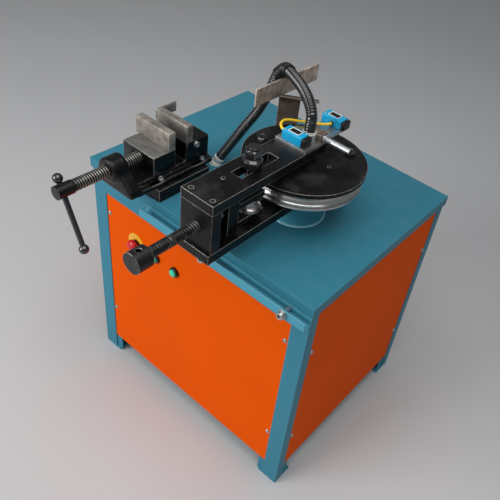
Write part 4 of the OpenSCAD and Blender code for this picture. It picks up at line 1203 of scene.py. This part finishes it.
def dress_switch(node, wire_end, wire_turn):
    low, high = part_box(node)
    body_top = high.z - window_rise
    body_end = high.x - nose_length
    x, y = (low.x + body_end) / 2, middle(node).y
    stand_in(node, eased_block(node, low, (body_end, high.y, body_top), 0.0018), blue_plastic)
    nose = eased_block(node, (body_end - nose_root, low.y + nose_inset, low.z + 0.0003),
                       (high.x, high.y - nose_inset, body_top - 0.0020), 0.0014)
    add_piece(node + "_nose", nose, black_plastic, arm_body)
    frame_low = (x - window_half_x, y - window_half_y, body_top - 0.001)
    frame_high = (x + window_half_x, y + window_half_y, high.z)
    add_piece(node + "_frame", window_frame(node, frame_low, frame_high), white_plastic, arm_body)
    glass_inset = window_rim - 0.0001
    glass = eased_block(node, (frame_low[0] + glass_inset, frame_low[1] + glass_inset, body_top),
                        (frame_high[0] - glass_inset, frame_high[1] - glass_inset,
                         high.z - window_depth + 0.0003), 0.0001)
    grommet = spun(node, [(0.0046, -0.001), (0.0046, 0.0022), (0.0036, 0.0034),
                          (0.0028, 0.0034)], sides=32)
    add_piece(node + "_window", merged(node, [(glass, Matrix.Identity(4)),
                                              (grommet, at(wire_end, wire_turn))]),
              black_plastic, arm_body)
    screw = spun(node, [
        (0.0024, -0.001), (0.0024, 0.0004), (0.0019, 0.0010), (0.0012, 0.0010, hexagon),
        (0.0012, 0.0002, hexagon), (smallest, 0.0002, hexagon)], sides=24)
    corners = [((x + switch_screw_x * side, y + switch_screw_y * side, body_top), (0, 0, side))
               for side in (-1, 1)]
    add_piece(node + "_screws", bolted(node, screw, corners, zinc), zinc, arm_body)


front_wire, rear_wire = wire_route[0], wire_route[-1]
front_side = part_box("switch_front")[0].x
rear_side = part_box("switch_rear")[0].y
dress_switch("switch_front", (front_side, front_wire[1], front_wire[2]), to_left)
dress_switch("switch_rear", (rear_wire[0], rear_side, rear_wire[2]), to_front)
print("limit switches made")

# %% [markdown]
# The round sensor is a plated barrel, threaded where its nut holds it. Barrel, thread and nut share
# one axis, so they are made upright and laid along X together. Its face is a black disc.

# %% Sensor
sensor_low, sensor_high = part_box("proximity_sensor")
sensor_axis = middle("proximity_sensor")
sensor_thread = 0.040
sensor_face_depth = 0.0018
nut_along_sensor = 0.022
sensor_barrel = spun("sensor_barrel", [
    (0.0062, sensor_thread), (0.0070, sensor_thread + 0.0006), (0.0070, 0.0878),
    (0.0066, 0.0882), (smallest, 0.0882)])
sensor_nut = spun("sensor_nut", [
    (0.0070, 0), (0.0081, 0), (0.0086, 0.0006, hexagon), (0.0086, 0.0034, hexagon),
    (0.0081, 0.0040), (0.0070, 0.0040)])
sensor_rod = rod(radius=0.0070, depth=0.0006, pitch=0.0015, length=sensor_thread + 0.001,
                 finish=zinc)
along_sensor = [(sensor_rod, 0.0), (sensor_barrel, 0.0), (sensor_nut, nut_along_sensor)]
stand_in("proximity_sensor", merged("proximity_sensor", [
    (mesh, at((sensor_low.x + start, sensor_axis.y, sensor_axis.z), to_right))
    for mesh, start in along_sensor]), zinc)
sensor_face = spun("sensor_face", [(0.0060, 0.0), (0.0066, 0.0002), (0.0066, 0.0014),
                                   (0.0060, sensor_face_depth), (smallest, sensor_face_depth)])
face_seat = at((sensor_high.x - sensor_face_depth, sensor_axis.y, sensor_axis.z), to_right)
add_piece("sensor_face", merged("sensor_face", [(sensor_face, face_seat)]), black_plastic,
          body_of["proximity_sensor"])

print("sensor thread", sensor_thread, "m long")

# %% [markdown]
# A gland is a nylon nut that grips a hose's end. The upper one stands on the swing axis. The one on
# the table is made in two, because its foot is flat on the table and its cap leans with the hose.

# %% Glands
swivel_low, swivel_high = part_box("swivel_gland")
swivel_centre = middle("swivel_gland")
swivel_rise = swivel_high.z - swivel_low.z
swivel = spun("swivel_gland", [
    (0.0138, 0), (0.0147, 0.0004, hexagon), (0.0147, 0.0034, hexagon), (0.0139, 0.0040),
    (0.0136, 0.0040), (0.0132, 0.0044), (0.0132, 0.0050), (0.0139, 0.0054),
    (0.0139, swivel_rise - 0.0006), (0.0132, swivel_rise), (smallest, swivel_rise)])
swivel_seat = at((swivel_centre.x, swivel_centre.y, swivel_low.z))
stand_in("swivel_gland", merged("swivel_gland", [(swivel, swivel_seat)]), white_plastic)

gland_start = Vector(conduit_route[0])
gland_lean = (Vector(conduit_route[1]) - gland_start).normalized()
gland_rise = gland_start.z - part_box("conduit_gland")[0].z
gland_foot = gland_start - gland_lean * (gland_rise / gland_lean.z)
foot_nut = spun("gland_foot", washer_rings(0.0160, 0.002) + [
    (0.0122, 0.002), (0.0130, 0.0024, hexagon), (0.0130, 0.0066, hexagon), (0.0122, 0.0072),
    (smallest, 0.0072)])
cap_nut = spun("gland_cap", [
    (0.0090, -0.0205), (0.0104, -0.0180), (0.0118, -0.0140), (0.0134, -0.0080),
    (0.0144, -0.0040), (0.0144, -0.0010), (0.0136, -0.0004), (smallest, -0.0004)])
lean_turn = Vector((0, 0, 1)).rotation_difference(gland_lean).to_matrix().to_4x4()
stand_in("conduit_gland", merged("conduit_gland", [
    (foot_nut, at(gland_foot)), (cap_nut, Matrix.Translation(gland_start) @ lean_turn)]),
    white_plastic)
print("conduit gland leans", round(math.degrees(math.acos(gland_lean.z)), 1), "degrees")

# %% [markdown]
# ## Conduit and wire
# The conduit is a ribbed hose, with a thicker ribbed sleeve over its sharpest bend. The wire is a
# plain jacket, which the same tree makes with no ribs.

# %% Conduit and wire
rib_pitch = 0.006
sleeve_pitch = 0.0048
steps_in_rib = 8
stand_in("conduit", along_route(
    "conduit", conduit_route, Radius=0.013, Depth=0.0016, Pitch=rib_pitch,
    Step=rib_pitch / steps_in_rib, Sides=28, Finish=conduit_plastic), conduit_plastic)
stand_in("switch_wire", along_route(
    "switch_wire", wire_route, Radius=0.003, Depth=0.0, Pitch=1.0, Step=0.002, Sides=20,
    Finish=wire_plastic), wire_plastic)
sleeve_route = conduit_route[8:11]
add_piece("conduit_elbow", along_route(
    "conduit_elbow", sleeve_route, Radius=0.0158, Depth=0.0012, Pitch=sleeve_pitch,
    Step=sleeve_pitch / steps_in_rib, Sides=36, Finish=black_plastic), black_plastic,
    body_of["conduit"])
print("sleeve over", len(sleeve_route), "of", len(conduit_route), "route points")

# %% [markdown]
# ## The weld round the boss
# The bearing boss is a turned ring, welded to the worktop and painted. A weld is a row of small
# overlapping puddles, so the hose tree serves again: a rippled bead that follows a circle, half
# sunk in the corner. Its two ends meet at the rear. It is painted paler, a painted highlight.

# %% Boss weld
boss_low, boss_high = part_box("bearing_boss")
boss_centre = middle("bearing_boss")
boss_radius = (boss_high.x - boss_low.x) / 2
# Much paler than the worktop's teal: a painted highlight along the bead.
weld_highlight_coat = powder_coat("weld_powder_coat", colour(150, 208, 220), colour(224, 238, 240),
                        roughness=0.34, sheen=0.25)
weld_points = 48
weld_ripple = 0.005
steps_in_ripple = 6
weld_route = []
for i in range(weld_points + 1):
    around = quarter + 2 * math.pi * i / weld_points
    weld_route.append((boss_centre.x + boss_radius * math.cos(around),
                       boss_centre.y + boss_radius * math.sin(around), boss_low.z))
add_piece("boss_weld", along_route(
    "boss_weld", weld_route, Radius=0.0040, Depth=0.0010, Pitch=weld_ripple,
    Step=weld_ripple / steps_in_ripple, Sides=16, Finish=weld_highlight_coat), weld_highlight_coat,
    body_of["bearing_boss"])
print("weld bead", round(2 * math.pi * boss_radius, 3), "m long")
